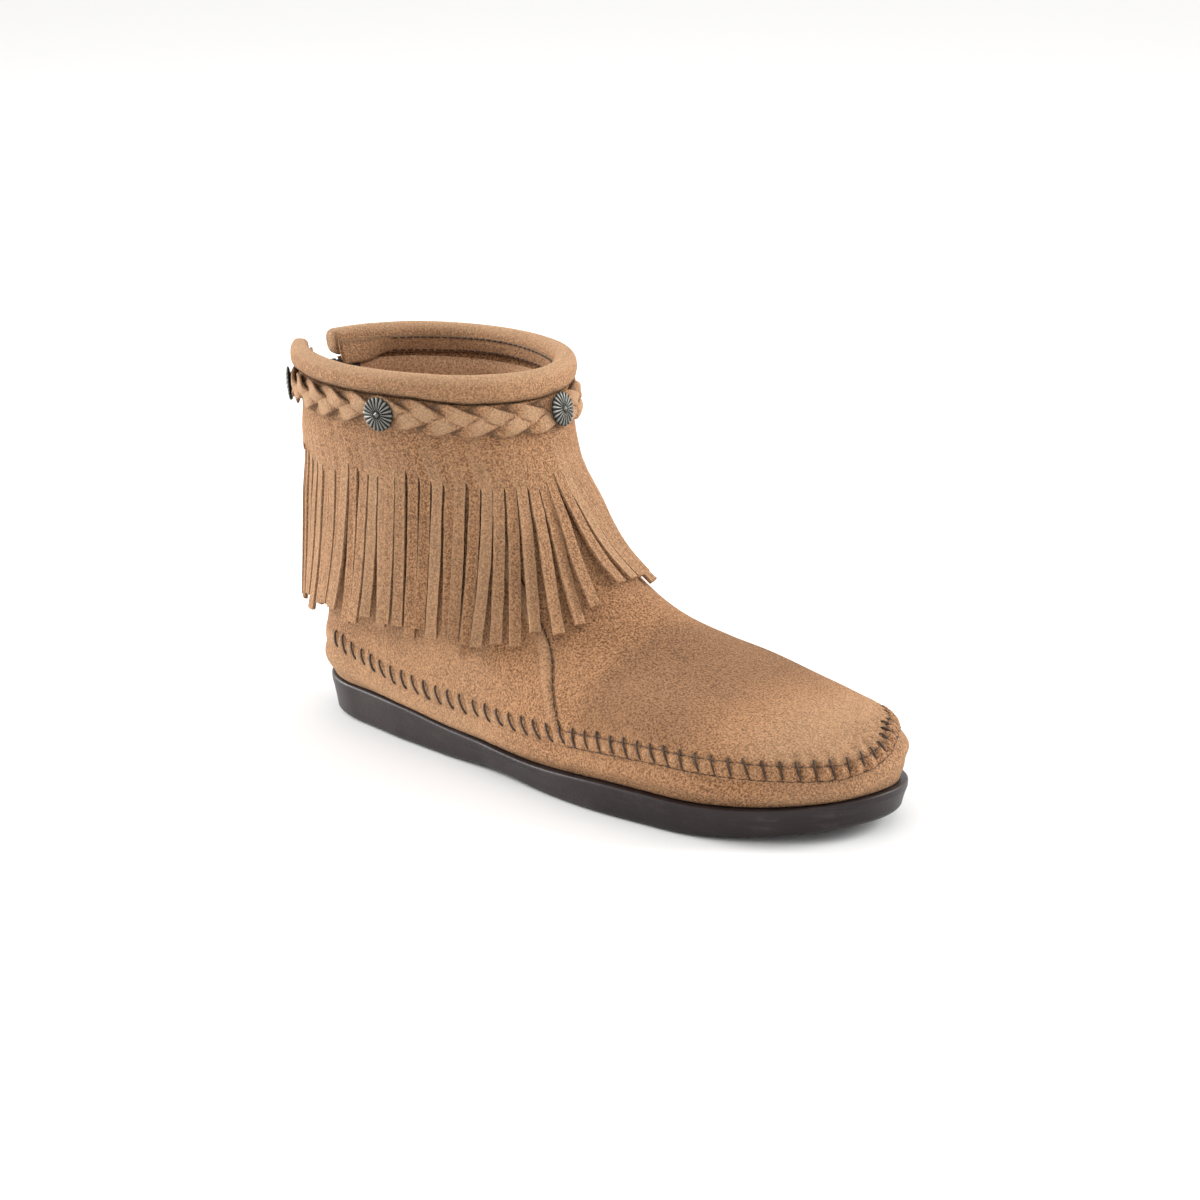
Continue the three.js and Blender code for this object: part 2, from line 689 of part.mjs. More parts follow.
function placeConcho(mesh, share) {
  const turn = turnAtGirth(share * GIRTH);
  const row = shaftRow(turn, WALL_TOP - BRAID_WIDTH / 2);
  const out = faceNormal(turn, row);
  const seat = fringeOut + 2 * FIT_GAP + BRAID_BACKING + BRAID_RAISE;
  mesh.position.copy(upperPoint(turn, row, seat));
  mesh.quaternion.setFromUnitVectors(new THREE.Vector3(0, 0, 1), out);
}

// Slider and pull are drawn about the pull's crossbar: -X away from the boot, Y along the bar
const BAR_DEPTH = PULL_CLEARANCE + PULL_THICKNESS / 2;
const sliderRow = rowAt(loopBack(TOP_ROW - 1.5), SLIDER_HEIGHT_AT);
const chainFace = facePoint(0, rowAt(loopBack(sliderRow), SLIDER_HEIGHT_AT - SLIDER_LENGTH / 2)).x
  - (tapeOut + FIT_GAP + CHAIN_THICKNESS);
const sliderTopFace = facePoint(0, rowAt(loopBack(sliderRow), SLIDER_HEIGHT_AT + SLIDER_LENGTH / 2)).x
  - (tapeOut + FIT_GAP + CHAIN_THICKNESS);
const SLIDER_SEAT = Math.min(chainFace, sliderTopFace) - FIT_GAP;
const PULL_AXIS = new THREE.Vector3(SLIDER_SEAT - SLIDER_THICKNESS - BAR_DEPTH, 0, SLIDER_HEIGHT_AT);

function boxBetween(low, high) {
  const size = new THREE.Vector3().subVectors(high, low);
  const middle = new THREE.Vector3().addVectors(low, high).multiplyScalar(0.5);
  return new THREE.BoxGeometry(size.x, size.y, size.z).translate(middle.x, middle.y, middle.z);
}

const shapeOf = (points) => new THREE.Shape(points.map(([x, y]) => new THREE.Vector2(x, y)));

function zipSliderGeometry() {
  const plateLow = new THREE.Vector3(BAR_DEPTH, -SLIDER_WIDTH / 2, -SLIDER_LENGTH / 2);
  const plateHigh = new THREE.Vector3(BAR_DEPTH + SLIDER_THICKNESS, SLIDER_WIDTH / 2, SLIDER_LENGTH / 2);
  const half = BRIDGE_LENGTH / 2;
  const inside = half - BRIDGE_STRAP;
  const depth = 2 * BAR_DEPTH;
  const foot = -SLIDER_THICKNESS / 2;
  const outline = shapeOf([
    [-half, foot], [-inside, foot], [-inside, depth], [inside, depth], [inside, foot], [half, foot],
    [half, depth], [inside, depth + BRIDGE_STRAP], [-inside, depth + BRIDGE_STRAP], [-half, depth],
  ]);
  const bridge = new THREE.ExtrudeGeometry(outline, { depth: BRIDGE_WIDTH, bevelEnabled: false });
  const basis = new THREE.Matrix4().makeBasis(
    new THREE.Vector3(0, 0, 1),
    new THREE.Vector3(-1, 0, 0),
    new THREE.Vector3(0, -1, 0),
  );
  bridge.applyMatrix4(basis).translate(BAR_DEPTH, BRIDGE_WIDTH / 2, 0);
  return joined(boxBetween(plateLow, plateHigh), bridge);
}

function zipPullGeometry() {
  const half = PULL_WIDTH / 2;
  const eyeHalf = BRIDGE_WIDTH / 2 + 0.5;
  const eyeEnd = -PULL_BAR / 2 - BRIDGE_LENGTH / 2 - BRIDGE_STRAP;
  const neck = eyeHalf + 1.1;
  const tipSteps = 8;
  const tip = Array.from({ length: tipSteps + 1 }, (_, i) => {
    const angle = Math.PI * (1 + i / tipSteps);
    return [half * Math.cos(angle), half - PULL_LENGTH + half * Math.sin(angle)];
  });
  const left = [[-neck, PULL_BAR / 2], [-neck, eyeEnd - PULL_BAR], [-half, eyeEnd - 2 * PULL_BAR]];
  const right = [[half, eyeEnd - 2 * PULL_BAR], [neck, eyeEnd - PULL_BAR], [neck, PULL_BAR / 2]];
  const outline = shapeOf([...left, ...tip, ...right]);
  const eye = shapeOf([
    [-eyeHalf, -PULL_BAR / 2], [eyeHalf, -PULL_BAR / 2], [eyeHalf, eyeEnd], [-eyeHalf, eyeEnd],
  ]);
  outline.holes.push(eye);
  const plate = new THREE.ExtrudeGeometry(outline, {
    depth: PULL_THICKNESS,
    bevelEnabled: false,
  });
  const basis = new THREE.Matrix4().makeBasis(
    new THREE.Vector3(0, 1, 0),
    new THREE.Vector3(0, 0, 1),
    new THREE.Vector3(1, 0, 0),
  );
  return plate.applyMatrix4(basis).translate(-PULL_THICKNESS / 2, 0, 0);
}

const suede = new THREE.MeshStandardMaterial({ color: 0xb98a5c, roughness: 0.95, metalness: 0 });
const suedeTrim = new THREE.MeshStandardMaterial({ color: 0xb48556, roughness: 0.95, metalness: 0 });
const sole = new THREE.MeshStandardMaterial({ color: 0x3a2f2c, roughness: 0.6, metalness: 0 });
const lining = new THREE.MeshStandardMaterial({ color: 0xa98461, roughness: 0.9, metalness: 0 });
const darkMetal = new THREE.MeshStandardMaterial({ color: 0x4a4440, roughness: 0.4, metalness: 0.9 });
const tape = new THREE.MeshStandardMaterial({ color: 0x1c1a19, roughness: 0.9, metalness: 0 });

const boot = new THREE.Group();

function add(name, geometry, material) {
  const mesh = new THREE.Mesh(geometry, material);
  mesh.name = name;
  boot.add(mesh);
  return mesh;
}

add('outsole', outsoleGeometry(), sole);
add('insole', insoleGeometry(), lining);
add('upper', upperGeometry(), suede);
add('collar_roll', collarRollGeometry(), suedeTrim);
add('fringe', fringeGeometry(), suede);
add('braid', braidGeometry(), suedeTrim);
add('heel_tab', heelTabGeometry(), suedeTrim);
CONCHO_PLACES.forEach((share, i) => {
  placeConcho(add(`concho_${i + 1}`, conchoGeometry(), darkMetal), share);
});
add('zip_tape', zipTapeGeometry(), tape);
add('zip_chain', zipChainGeometry(), tape);
add('zip_slider', zipSliderGeometry(), darkMetal).position.copy(PULL_AXIS);
add('zip_pull', zipPullGeometry(), darkMetal).position.copy(PULL_AXIS);

boot.position.set(-HEEL_REST_X, 0, 0);

export default boot;
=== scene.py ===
"""Fringed suede moccasin ankle boot for the right foot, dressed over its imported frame.

The boot's own sizes are in millimetres, with x from the sole's back edge. They turn to
metres in the frame where a mesh is made. X runs from heel to toe, Y to the inner side of
the foot and Z up. A turn runs round the boot from 0 at the back, over the outer side, to
1; a row runs up the upper from 0 at the sole to 11 at the collar.
"""

import logging
import math
from dataclasses import dataclass
from enum import Enum
from typing import Callable, Optional, Sequence

import bmesh
import bpy
import numpy as np
from mathutils import Matrix, Vector


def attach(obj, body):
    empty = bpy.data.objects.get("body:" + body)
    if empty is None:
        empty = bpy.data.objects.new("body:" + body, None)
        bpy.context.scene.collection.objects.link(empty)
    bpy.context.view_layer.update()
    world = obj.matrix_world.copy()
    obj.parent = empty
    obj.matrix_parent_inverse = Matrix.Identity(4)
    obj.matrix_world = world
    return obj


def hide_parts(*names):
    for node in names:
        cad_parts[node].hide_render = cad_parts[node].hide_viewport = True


LOG = logging.getLogger("moccasin_boot")
Array = np.ndarray
Colour = tuple[float, float, float]
MM = 0.001
HALVINGS = 24
HEEL_REST_X = 32.0  # middle of the heel's flat tread, from the sole's back edge

# How far the finished boot settles off its CAD form, in millimetres
COLLAR_BACK_OUT = 4.6
COLLAR_ENDS_ASIDE = 3.0
UNDER_ROLL_UP = 2.0
INNER_SIDE_UP = 1.3
TOE_SEAM_DOWN = 2.8
TOE_BACK = 1.8


class Body(Enum):
    """Rigid bodies that a piece may ride on."""

    BOOT = "boot"
    PULL = "pull"


def mix(a, b, t):
    """Blends a to b by t."""
    return a + (b - a) * t


def ease(t):
    """Eases from 0 to 1 with level ends."""
    t = np.clip(t, 0.0, 1.0)
    return t * t * (3.0 - 2.0 * t)


def bump_over(t):
    """A smooth bump, 1 at 0 and 0 from -1 and 1 outwards."""
    return np.where(np.abs(t) < 1.0, np.cos(np.clip(t, -1.0, 1.0) * math.pi / 2) ** 2, 0.0)


def hump(t):
    """A smooth hump between 0 and 1."""
    return bump_over(2.0 * np.asarray(t) - 1.0)


def curve_through(values: Sequence[float], place) -> Array:
    """Reads a smooth curve through evenly spaced values.

    Args:
        values: The curve's values at 0, 1, 2 and so on.
        place: Where to read it.

    Returns:
        The curve's value at each place.
    """
    v = np.asarray(values, float)
    last = len(v) - 1
    at = np.clip(place, 0.0, last - 1e-9)
    i = np.floor(at).astype(int)
    t = at - i
    b, c = v[i], v[i + 1]
    a = np.where(i > 0, v[np.maximum(i - 1, 0)], 2 * b - c)
    d = np.where(i + 2 <= last, v[np.minimum(i + 2, last)], 2 * c - b)
    return b + 0.5 * t * (c - a + t * (2 * a - 5 * b + 4 * c - d + t * (3 * (b - c) + d - a)))


def curve_at(places: Sequence[float], values: Sequence[float], place) -> Array:
    """Reads a smooth curve through values with their own places.

    Args:
        places: Rising places of the values.
        values: The value at each.
        place: Where to read the curve.

    Returns:
        The curve's value at each place.
    """
    p = np.asarray(places, float)
    i = np.searchsorted(p[1:-1], place, side="left")
    t = np.clip((place - p[i]) / (p[i + 1] - p[i]), 0.0, 1.0)
    return curve_through(values, i + t)


def value_noise(x: Array, seed: int) -> Array:
    """Smooth noise in -1 to 1 along a line.

    Args:
        x: Where to read it, one cell per unit.
        seed: Fixed seed.

    Returns:
        The noise at each place.
    """
    table = np.random.default_rng(seed).uniform(-1, 1, 512)
    i = np.floor(x).astype(int)
    return mix(table[i % 512], table[(i + 1) % 512], ease(x - i))


def halved(low: Array, high: Array, is_under: Callable[[Array], Array]) -> tuple[Array, Array]:
    """Narrows ranges down to where a test turns from true to false.

    Args:
        low: The ranges' starts, where the test is true.
        high: Their ends.
        is_under: The test, for one place in each range.

    Returns:
        The starts and ends of the narrowed ranges.
    """
    for _ in range(HALVINGS):
        middle = (low + high) / 2
        under = is_under(middle)
        low, high = np.where(under, middle, low), np.where(under, high, middle)
    return low, high


def unit(v: Array) -> Array:
    """Scales vectors to length 1."""
    return v / np.maximum(np.linalg.norm(v, axis=-1, keepdims=True), 1e-12)


@dataclass(frozen=True)
class BootForm:
    """The boot's last shape and its named sizes, in millimetres."""

    length: float = 260.0
    ball_outer: float = 50.5
    ball_inner: float = 44.0
    heel_sole: float = 14.5
    waist_sole: float = 9.8
    ball_sole: float = 12.0
    toe_sole: float = 10.0
    toe_spring: float = 6.0
    spring_start: float = 196.0
    arch_rise: float = 1.0
    arch_back: float = 78.0
    arch_front: float = 146.0
    tread_inset: float = 2.6
    tread_round: float = 1.4
    lip_height: float = 2.2
    lip_proud: float = 0.4
    waist_recess: float = 0.9
    upper_wall: float = 1.8
    feather_inset: float = 3.0
    seam_rise_heel: float = 11.5
    seam_rise_toe: float = 17.0
    seam_rib: float = 1.0
    collar_height: float = 141.0
    collar_length: float = 105.0
    collar_width: float = 83.0
    collar_back: float = -5.5
    zip_opening: float = 9.0
    fit_gap: float = 0.3
    roll_height: float = 10.6
    roll_thickness: float = 8.6
    roll_shift: float = 0.4
    yoke_drop: float = 28.0
    strip_length: float = 56.0
    strip_width: float = 3.5
    strip_cut: float = 0.6
    fringe_thickness: float = 1.5
    yoke_seat: float = 0.5
    fringe_end_gap: float = 17.0
    braid_width: float = 10.8
    braid_backing: float = 1.0
    braid_raise: float = 2.2
    braid_period: float = 36.0
    braid_end_gap: float = 15.0
    slot_row: float = 2.8
    seam_row: float = 2.0
    rib_half_rows: float = 0.22

    SOLE = (
        (0, 0.56, 0.66), (0.1, 0.61, 0.7), (0.22, 0.71, 0.7), (0.41, 0.84, 0.66),
        (0.5, 0.92, 0.74), (0.62, 1, 0.92), (0.72, 1, 1), (0.84, 0.96, 0.98), (1, 0.8, 0.86),
    )
    HEEL_ROUND = (0.115, 2.1)
    TOE_ROUND = (0.24, 2.15)
    COLUMNS = (
        "seam", "back", "front", "lean", "reach", "outer", "inner", "tuck", "oval", "widest",
    )
    LEVELS = (
        (0, 0, 0, 0, 1, 1, 1, 1, 0, 0.5),
        (0.4, 0, 0, 0.1, 1, 1.04, 1.04, 0.4, 0, 0.5),
        (1, 0, 0, 0.1, 0.985, 0.9, 0.9, 0, 0, 0.5),
        (1, 0.063, 0.062, 0.15, 0.92, 0.62, 0.5, 0, 0.12, 0.5),
        (1, 0.14, 0.11, 0.2, 0.78, 0.22, 0.05, 0, 0.36, 0.48),
        (1, 0.218, 0.142, 0.28, 0.61, -0.12, -0.5, 0, 0.62, 0.46),
        (1, 0.305, 0.2, 0.36, 0.44, -0.36, -1, 0, 0.82, 0.44),
        (1, 0.402, 0.3, 0.52, 0.3, -0.5, -1.3, 0, 0.94, 0.42),
        (1, 0.509, 0.43, 0.8, 0.185, -0.5, -1.4, 0, 1, 0.42),
        (1, 0.644, 0.595, 1.1, 0.1, -0.38, -1, 0, 1, 0.45),
        (1, 0.809, 0.79, 1.22, 0.035, -0.18, -0.5, 0, 1, 0.48),
        (1, 1, 1, 1, 0, 0, 0, 0, 1, 0.5),
    )

    @property
    def wall_top(self) -> float:
        """Height of the shaft wall's top edge, under the roll."""
        return self.collar_height - self.roll_height - self.fit_gap

    @property
    def top_row(self) -> float:
        """The collar's row."""
        return float(len(self.LEVELS) - 1)

    @property
    def fringe_out(self) -> float:
        """The yoke's outer face, over the shaft's."""
        return self.yoke_seat + self.fringe_thickness

    @property
    def braid_mid(self) -> float:
        """Height of the plait's middle line."""
        return self.wall_top - self.braid_width / 2

    def level(self, key: str, row) -> Array:
        """Reads one column of the levels at a row."""
        i = self.COLUMNS.index(key)
        return curve_through([values[i] for values in self.LEVELS], row)

    def end_rounding(self, along) -> Array:
        """1 along the middle of the sole, rounding to 0 at its ends."""
        (hr, hp), (tr, tp) = self.HEEL_ROUND, self.TOE_ROUND
        heel = np.clip(1 - along / hr, 0, 1)
        toe = np.clip(1 - (1 - along) / tr, 0, 1)
        return (1 - heel**hp) ** (1 / hp) * (1 - toe**tp) ** (1 / tp)

    def sole_edge(self, along, outer) -> Array:
        """Half width of the sole, as a share of the ball's, before its ends round."""
        places = [s[0] for s in self.SOLE]
        return np.where(
            outer,
            curve_at(places, [s[1] for s in self.SOLE], along),
            curve_at(places, [s[2] for s in self.SOLE], along),
        )

    def tread_height(self, x) -> Array:
        """Height of the tread over the floor."""
        toe = np.maximum(0, (x - self.spring_start) / (self.length - self.spring_start))
        arch = hump((x - self.arch_back) / (self.arch_front - self.arch_back))
        return self.toe_spring * toe**2 + self.arch_rise * arch

    def sole_top(self, x) -> Array:
        """Height of the sole's top face."""
        along = np.clip(x / self.length, 0, 1)
        thick = mix(self.heel_sole, self.waist_sole, ease((along - 0.18) / 0.3))
        thick = mix(thick, self.ball_sole, ease((along - 0.48) / 0.2))
        thick = mix(thick, self.toe_sole, ease((along - 0.74) / 0.24))
        return self.tread_height(x) + thick

    def sole_plan(self, turn, inset) -> tuple[Array, Array]:
        """Plan of the sole's outline.

        Args:
            turn: Where round the sole.
            inset: How far inside the outline.

        Returns:
            The points' x and y.
        """
        along = (1 - np.cos(2 * math.pi * turn)) / 2
        outer = turn <= 0.5
        x = inset + along * (self.length - 2 * inset)
        ball = np.where(outer, self.ball_outer, self.ball_inner)
        full = ball * self.sole_edge(along, outer) - inset
        return x, full * self.end_rounding(along) * np.where(outer, -1, 1)

    def loop_back(self, row) -> Array:
        """The back end of a loop."""
        return self.collar_back * self.level("lean", row) + self.feather_inset * self.level("tuck", row)

    def loop_front(self, row) -> Array:
        """The front end of a loop."""
        front = mix(self.collar_back + self.collar_length, self.length, self.level("reach", row))
        return front - self.feather_inset * self.level("tuck", row)

    def loop_height(self, row, x, along) -> Array:
        """Height of a loop over the floor."""
        rise = self.wall_top - self.heel_sole - self.fit_gap
        seam = self.level("seam", row)
        at_back = self.seam_rise_heel * seam + (rise - self.seam_rise_heel) * self.level("back", row)
        at_front = self.seam_rise_toe * seam + (rise - self.seam_rise_toe) * self.level("front", row)
        fade = ease(self.level("back", row) / 0.5)
        return mix(self.sole_top(x), self.heel_sole, fade) + self.fit_gap + mix(at_back, at_front, along)

    def loop_half(self, row, along, outer) -> Array:
        """Half width of a loop on one side."""
        ball = np.where(outer, self.ball_outer, self.ball_inner)
        share = np.where(outer, self.level("outer", row), self.level("inner", row))
        size = mix(self.collar_width / 2, ball, share) - self.feather_inset * self.level("tuck", row)
        widest = self.level("widest", row)
        off = np.where(along < widest, (widest - along) / widest, (along - widest) / (1 - widest))
        oval = np.sqrt(np.clip(1 - off**2, 0, 1))
        plan = self.sole_edge(along, outer) * self.end_rounding(along)
        return size * mix(plan, oval, self.level("oval", row))

    def face(self, turn, row) -> Array:
        """Points of the upper's outer face, before ribs and folds."""
        turn, row = np.broadcast_arrays(np.asarray(turn, float), np.asarray(row, float))
        along = (1 - np.cos(2 * math.pi * turn)) / 2
        outer = turn <= 0.5
        x = mix(self.loop_back(row), self.loop_front(row), along)
        y = self.loop_half(row, along, outer) * np.where(outer, -1, 1)
        return np.stack([x, y, self.loop_height(row, x, along)], axis=-1)

    def normal(self, turn, row) -> Array:
        """Outward normals of that face."""
        turn, row = np.broadcast_arrays(np.asarray(turn, float), np.asarray(row, float))
        ahead = self.face((turn + 0.004) % 1.0, row) - self.face((turn - 0.004) % 1.0, row)
        up = self.face(turn, np.minimum(self.top_row, row + 0.05))
        up = up - self.face(turn, np.maximum(0, row - 0.05))
        return unit(np.cross(ahead, up))

    def row_at(self, x, height) -> Array:
        """The row whose loop passes over x at a height."""

        def is_under(row: Array) -> Array:
            """Whether a row's loop passes under the height."""
            back, front = self.loop_back(row), self.loop_front(row)
            return self.loop_height(row, x, np.clip((x - back) / (front - back), 0, 1)) < height

        start = np.zeros(np.broadcast(x, height).shape)
        low, high = halved(start, np.full(start.shape, self.top_row), is_under)
        return (low + high) / 2

    def half_width(self, x, height, outer) -> Array:
        """Half the upper's width at a place seen from the side, 0 off its outline."""
        row = self.row_at(x, height)
        back, front = self.loop_back(row), self.loop_front(row)
        along = (x - back) / (front - back)
        half = self.loop_half(row, np.clip(along, 0, 1), outer)
        return np.where((along <= 0) | (along >= 1), 0.0, half)

    def shaft_row(self, turn, height) -> Array:
        """The row at a height on the shaft."""
        x = self.face(turn, self.top_row - 1)[..., 0]
        return self.row_at(x, height)

    def shaft(self, turn, height, offset) -> Array:
        """Points at a height on the shaft, moved out by an offset."""
        turn, height = np.broadcast_arrays(np.asarray(turn, float), np.asarray(height, float))
        row = self.shaft_row(turn, height)
        point = self.face(turn, row) + self.normal(turn, row) * np.asarray(offset)[..., None]
        point[..., 2] = height
        return point

    def girth_table(self) -> Array:
        """Distances round the shaft's top edge at even turns."""
        points = self.face(np.linspace(0, 1, 721) % 1.0, self.top_row)
        gone = np.linalg.norm(np.diff(points, axis=0), axis=1)
        return np.concatenate([[0], np.cumsum(gone)])

    def turn_at_width(self, aside, row) -> Array:
        """The turn near the back where a loop is a given distance from the middle line."""
        aside, row = np.broadcast_arrays(np.asarray(aside, float), np.asarray(row, float))

        def is_under(turn: Array) -> Array:
            """Whether a turn's point is nearer to the middle line."""
            y = self.face(np.where(aside < 0, turn, 1 - turn), row)[..., 1]
            return np.abs(y) < np.abs(aside)

        low, _ = halved(np.zeros(aside.shape), np.full(aside.shape, 0.2), is_under)
        return np.where(aside < 0, low, (1 - low) % 1.0)


class Shaft:
    """Turns at even distances round the shaft of a boot."""

    def __init__(self, form: BootForm) -> None:
        """Measures the shaft's girth."""
        self.form = form
        self.table = form.girth_table()
        self.girth = float(self.table[-1])

    def turn(self, distance) -> Array:
        """The turn at a distance from the back, over the outer side."""
        wanted = np.mod(distance, self.girth)
        return np.interp(wanted, self.table, np.linspace(0, 1, len(self.table))) % 1.0


class FootField:
    """A table of the upper's half widths, for the strips to fall against."""

    CELL = 0.75
    START = (-16.0, 0.0)

    def __init__(self, form: BootForm) -> None:
        """Fills the table for the outer and the inner side."""
        x = np.arange(self.START[0], form.length + 12.0, self.CELL)[:, None]
        z = np.arange(self.START[1], form.wall_top + 4.0, self.CELL)[None, :]
        self.tables = [form.half_width(x + 0 * z, z + 0 * x, outer) for outer in (True, False)]

    def is_outside(self, points: Array) -> Array:
        """Whether points lie outside the upper's outer face."""
        rows, columns = self.tables[0].shape
        at_x = np.clip((points[..., 0] - self.START[0]) / self.CELL, 0, rows - 1.001)
        at_z = np.clip((points[..., 2] - self.START[1]) / self.CELL, 0, columns - 1.001)
        i, k = at_x.astype(int), at_z.astype(int)
        u, v = at_x - i, at_z - k
        both = []
        for table in self.tables:
            low = mix(table[i, k], table[i + 1, k], u)
            both.append(mix(low, mix(table[i, k + 1], table[i + 1, k + 1], u), v))
        half = np.where(points[..., 1] < 0, both[0], both[1])
        return np.abs(points[..., 1]) > half


def settle(points: Array) -> Array:
    """Lets the collar spread at the zip, ride up at the back, and the toe's seam sink.

    Args:
        points: Points in the boot's own millimetres.

    Returns:
        The moved points.
    """
    moved = np.array(points, float).reshape(-1, 3)
    x, y, z = moved.T.copy()
    spread = ease((z - 118.0) / 20.0) * ease((30.0 - x) / 26.0)
    moved[:, 0] -= COLLAR_BACK_OUT * spread * bump_over((y + 11.0) / 36.0)
    moved[:, 1] -= COLLAR_ENDS_ASIDE * spread * bump_over(y / 30.0)
    under_roll = ease((z - 96.0) / 28.0) * (1 - 0.85 * ease((z - 131.0) / 10.0))
    outer_side = ease((92.0 - x) / 24.0) * ease((x + 8.0) / 22.0) * ease((6.0 - y) / 24.0)
    moved[:, 2] += UNDER_ROLL_UP * under_roll * outer_side
    moved[:, 2] += INNER_SIDE_UP * ease((z - 100.0) / 34.0) * ease((y + 10.0) / 40.0)
    toe = ease((x - 226.0) / 28.0)
    moved[:, 2] -= TOE_SEAM_DOWN * toe * ease((z - 25.0) / 13.0)
    moved[:, 0] -= TOE_BACK * toe * ease((z - 25.0) / 8.0)
    return moved


def to_frame(points: Array) -> Array:
    """Turns the boot's own millimetres to metres in the frame."""
    moved = settle(points)
    moved[:, 0] -= HEEL_REST_X
    return moved * MM


def linked(name: str, data: bpy.types.ID) -> bpy.types.Object:
    """A new object with a mesh, a light or a camera, linked to the scene."""
    made = bpy.data.objects.new(name, data)
    bpy.context.collection.objects.link(made)
    return made


def new_piece(name: str, points: Array, faces: Sequence, smooth: bool = True) -> bpy.types.Object:
    """Makes a mesh object from the boot's own millimetres.

    Args:
        name: The piece's name.
        points: Corners.
        faces: Corner numbers of each face, or an array of faces with equal counts.
        smooth: Whether its faces are shaded smooth.

    Returns:
        The new object, linked to the scene.
    """
    mesh = bpy.data.meshes.new(name)
    listed = faces.tolist() if isinstance(faces, np.ndarray) else [list(f) for f in faces]
    mesh.from_pydata(to_frame(points).tolist(), [], listed)
    mesh.polygons.foreach_set("use_smooth", [smooth] * len(mesh.polygons))
    mesh.update()
    return linked(name, mesh)


def crisp(piece: bpy.types.Object, angle: float = 0.8) -> None:
    """Keeps a cut piece's edges sharp where its faces turn by more than an angle."""
    piece.data.set_sharp_from_angle(angle=angle)


def set_values(piece: bpy.types.Object, name: str, values: Array) -> None:
    """Stores one number per corner for the materials to read."""
    attribute = piece.data.attributes.new(name, "FLOAT", "POINT")
    attribute.data.foreach_set("value", np.asarray(values, np.float32).ravel())


def mark(piece: bpy.types.Object, painted_shade_and_tone: Array, wear_and_painted_highlight: Array) -> None:
    """Stores a suede piece's painted shade with some tone, and its wear and painted highlights, at each
    corner.
    """
    set_values(piece, "painted_shade_and_tone", painted_shade_and_tone)
    set_values(piece, "wear_and_painted_highlight", wear_and_painted_highlight)


def grid_faces(rows: int, columns: int, closed: bool, start: int = 0, flip: bool = False) -> Array:
    """Faces of a grid of corners stored row by row.

    Args:
        rows: Rows of faces.
        columns: Columns of faces.
        closed: Whether the last column joins the first.
        start: The grid's first corner number.
        flip: Whether the faces turn over.

    Returns:
        An array of quads, row by row.
    """
    used = columns if closed else columns + 1
    r, c = np.meshgrid(np.arange(rows), np.arange(columns), indexing="ij")
    n = (c + 1) % used
    quads = np.stack([r * used + c, r * used + n, (r + 1) * used + n, (r + 1) * used + c], -1)
    quads = quads.reshape(-1, 4) + start
    return quads[:, ::-1] if flip else quads


def closed_wall(outer: Array, inner: Array, closed: bool, present: Optional[Array] = None) -> tuple:
    """A wall between two grids of points, closed round every edge.

    Args:
        outer: Points of the outer face, (rows, columns, 3).
        inner: Points of the inner face, the same shape.
        closed: Whether the last column joins the first.
        present: Which cells are there, (rows - 1, cells).

    Returns:
        Points and faces.
    """
    rows, used = outer.shape[0] - 1, outer.shape[1]
    columns = used if closed else used - 1
    has = np.ones((rows, columns), bool) if present is None else present
    count = (rows + 1) * used
    keep = has.ravel()
    faces = [grid_faces(rows, columns, closed)[keep], grid_faces(rows, columns, closed, count, True)[keep]]
    up = np.vstack([has[1:], np.zeros((1, columns), bool)])
    down = np.vstack([np.zeros((1, columns), bool), has[:-1]])
    if closed:
        right, left = np.roll(has, -1, 1), np.roll(has, 1, 1)
    else:
        right = np.hstack([has[:, 1:], np.zeros((rows, 1), bool)])
        left = np.hstack([np.zeros((rows, 1), bool), has[:, :-1]])
    r, c = np.meshgrid(np.arange(rows), np.arange(columns), indexing="ij")
    n = (c + 1) % used
    low_a, low_b = r * used + c, r * used + n
    high_a, high_b = (r + 1) * used + c, (r + 1) * used + n
    for edge, a, b in (
        (has & ~down, low_b, low_a), (has & ~up, high_a, high_b),
        (has & ~left, low_a, high_a), (has & ~right, high_b, low_b),
    ):
        a, b = a[edge], b[edge]
        faces.append(np.stack([a, b, b + count, a + count], -1))
    return np.concatenate([outer.reshape(-1, 3), inner.reshape(-1, 3)]), np.concatenate(faces)


def drop_loose(piece: bpy.types.Object) -> None:
    """Deletes corners that no face uses."""
    shape = bmesh.new()
    shape.from_mesh(piece.data)
    loose = [v for v in shape.verts if not v.link_faces]
    bmesh.ops.delete(shape, geom=loose, context="VERTS")
    shape.to_mesh(piece.data)
    shape.free()


def tube_faces(stations: int, around: int, start: int = 0) -> list:
    """Faces of a closed tube stored ring by ring, with a many-sided face at each end."""
    quads = grid_faces(stations - 1, around, True, start).tolist()
    first = list(range(start, start + around))
    last = [start + (stations - 1) * around + i for i in range(around)]
    return quads + [first[::-1], last]


# Shader and geometry nodes


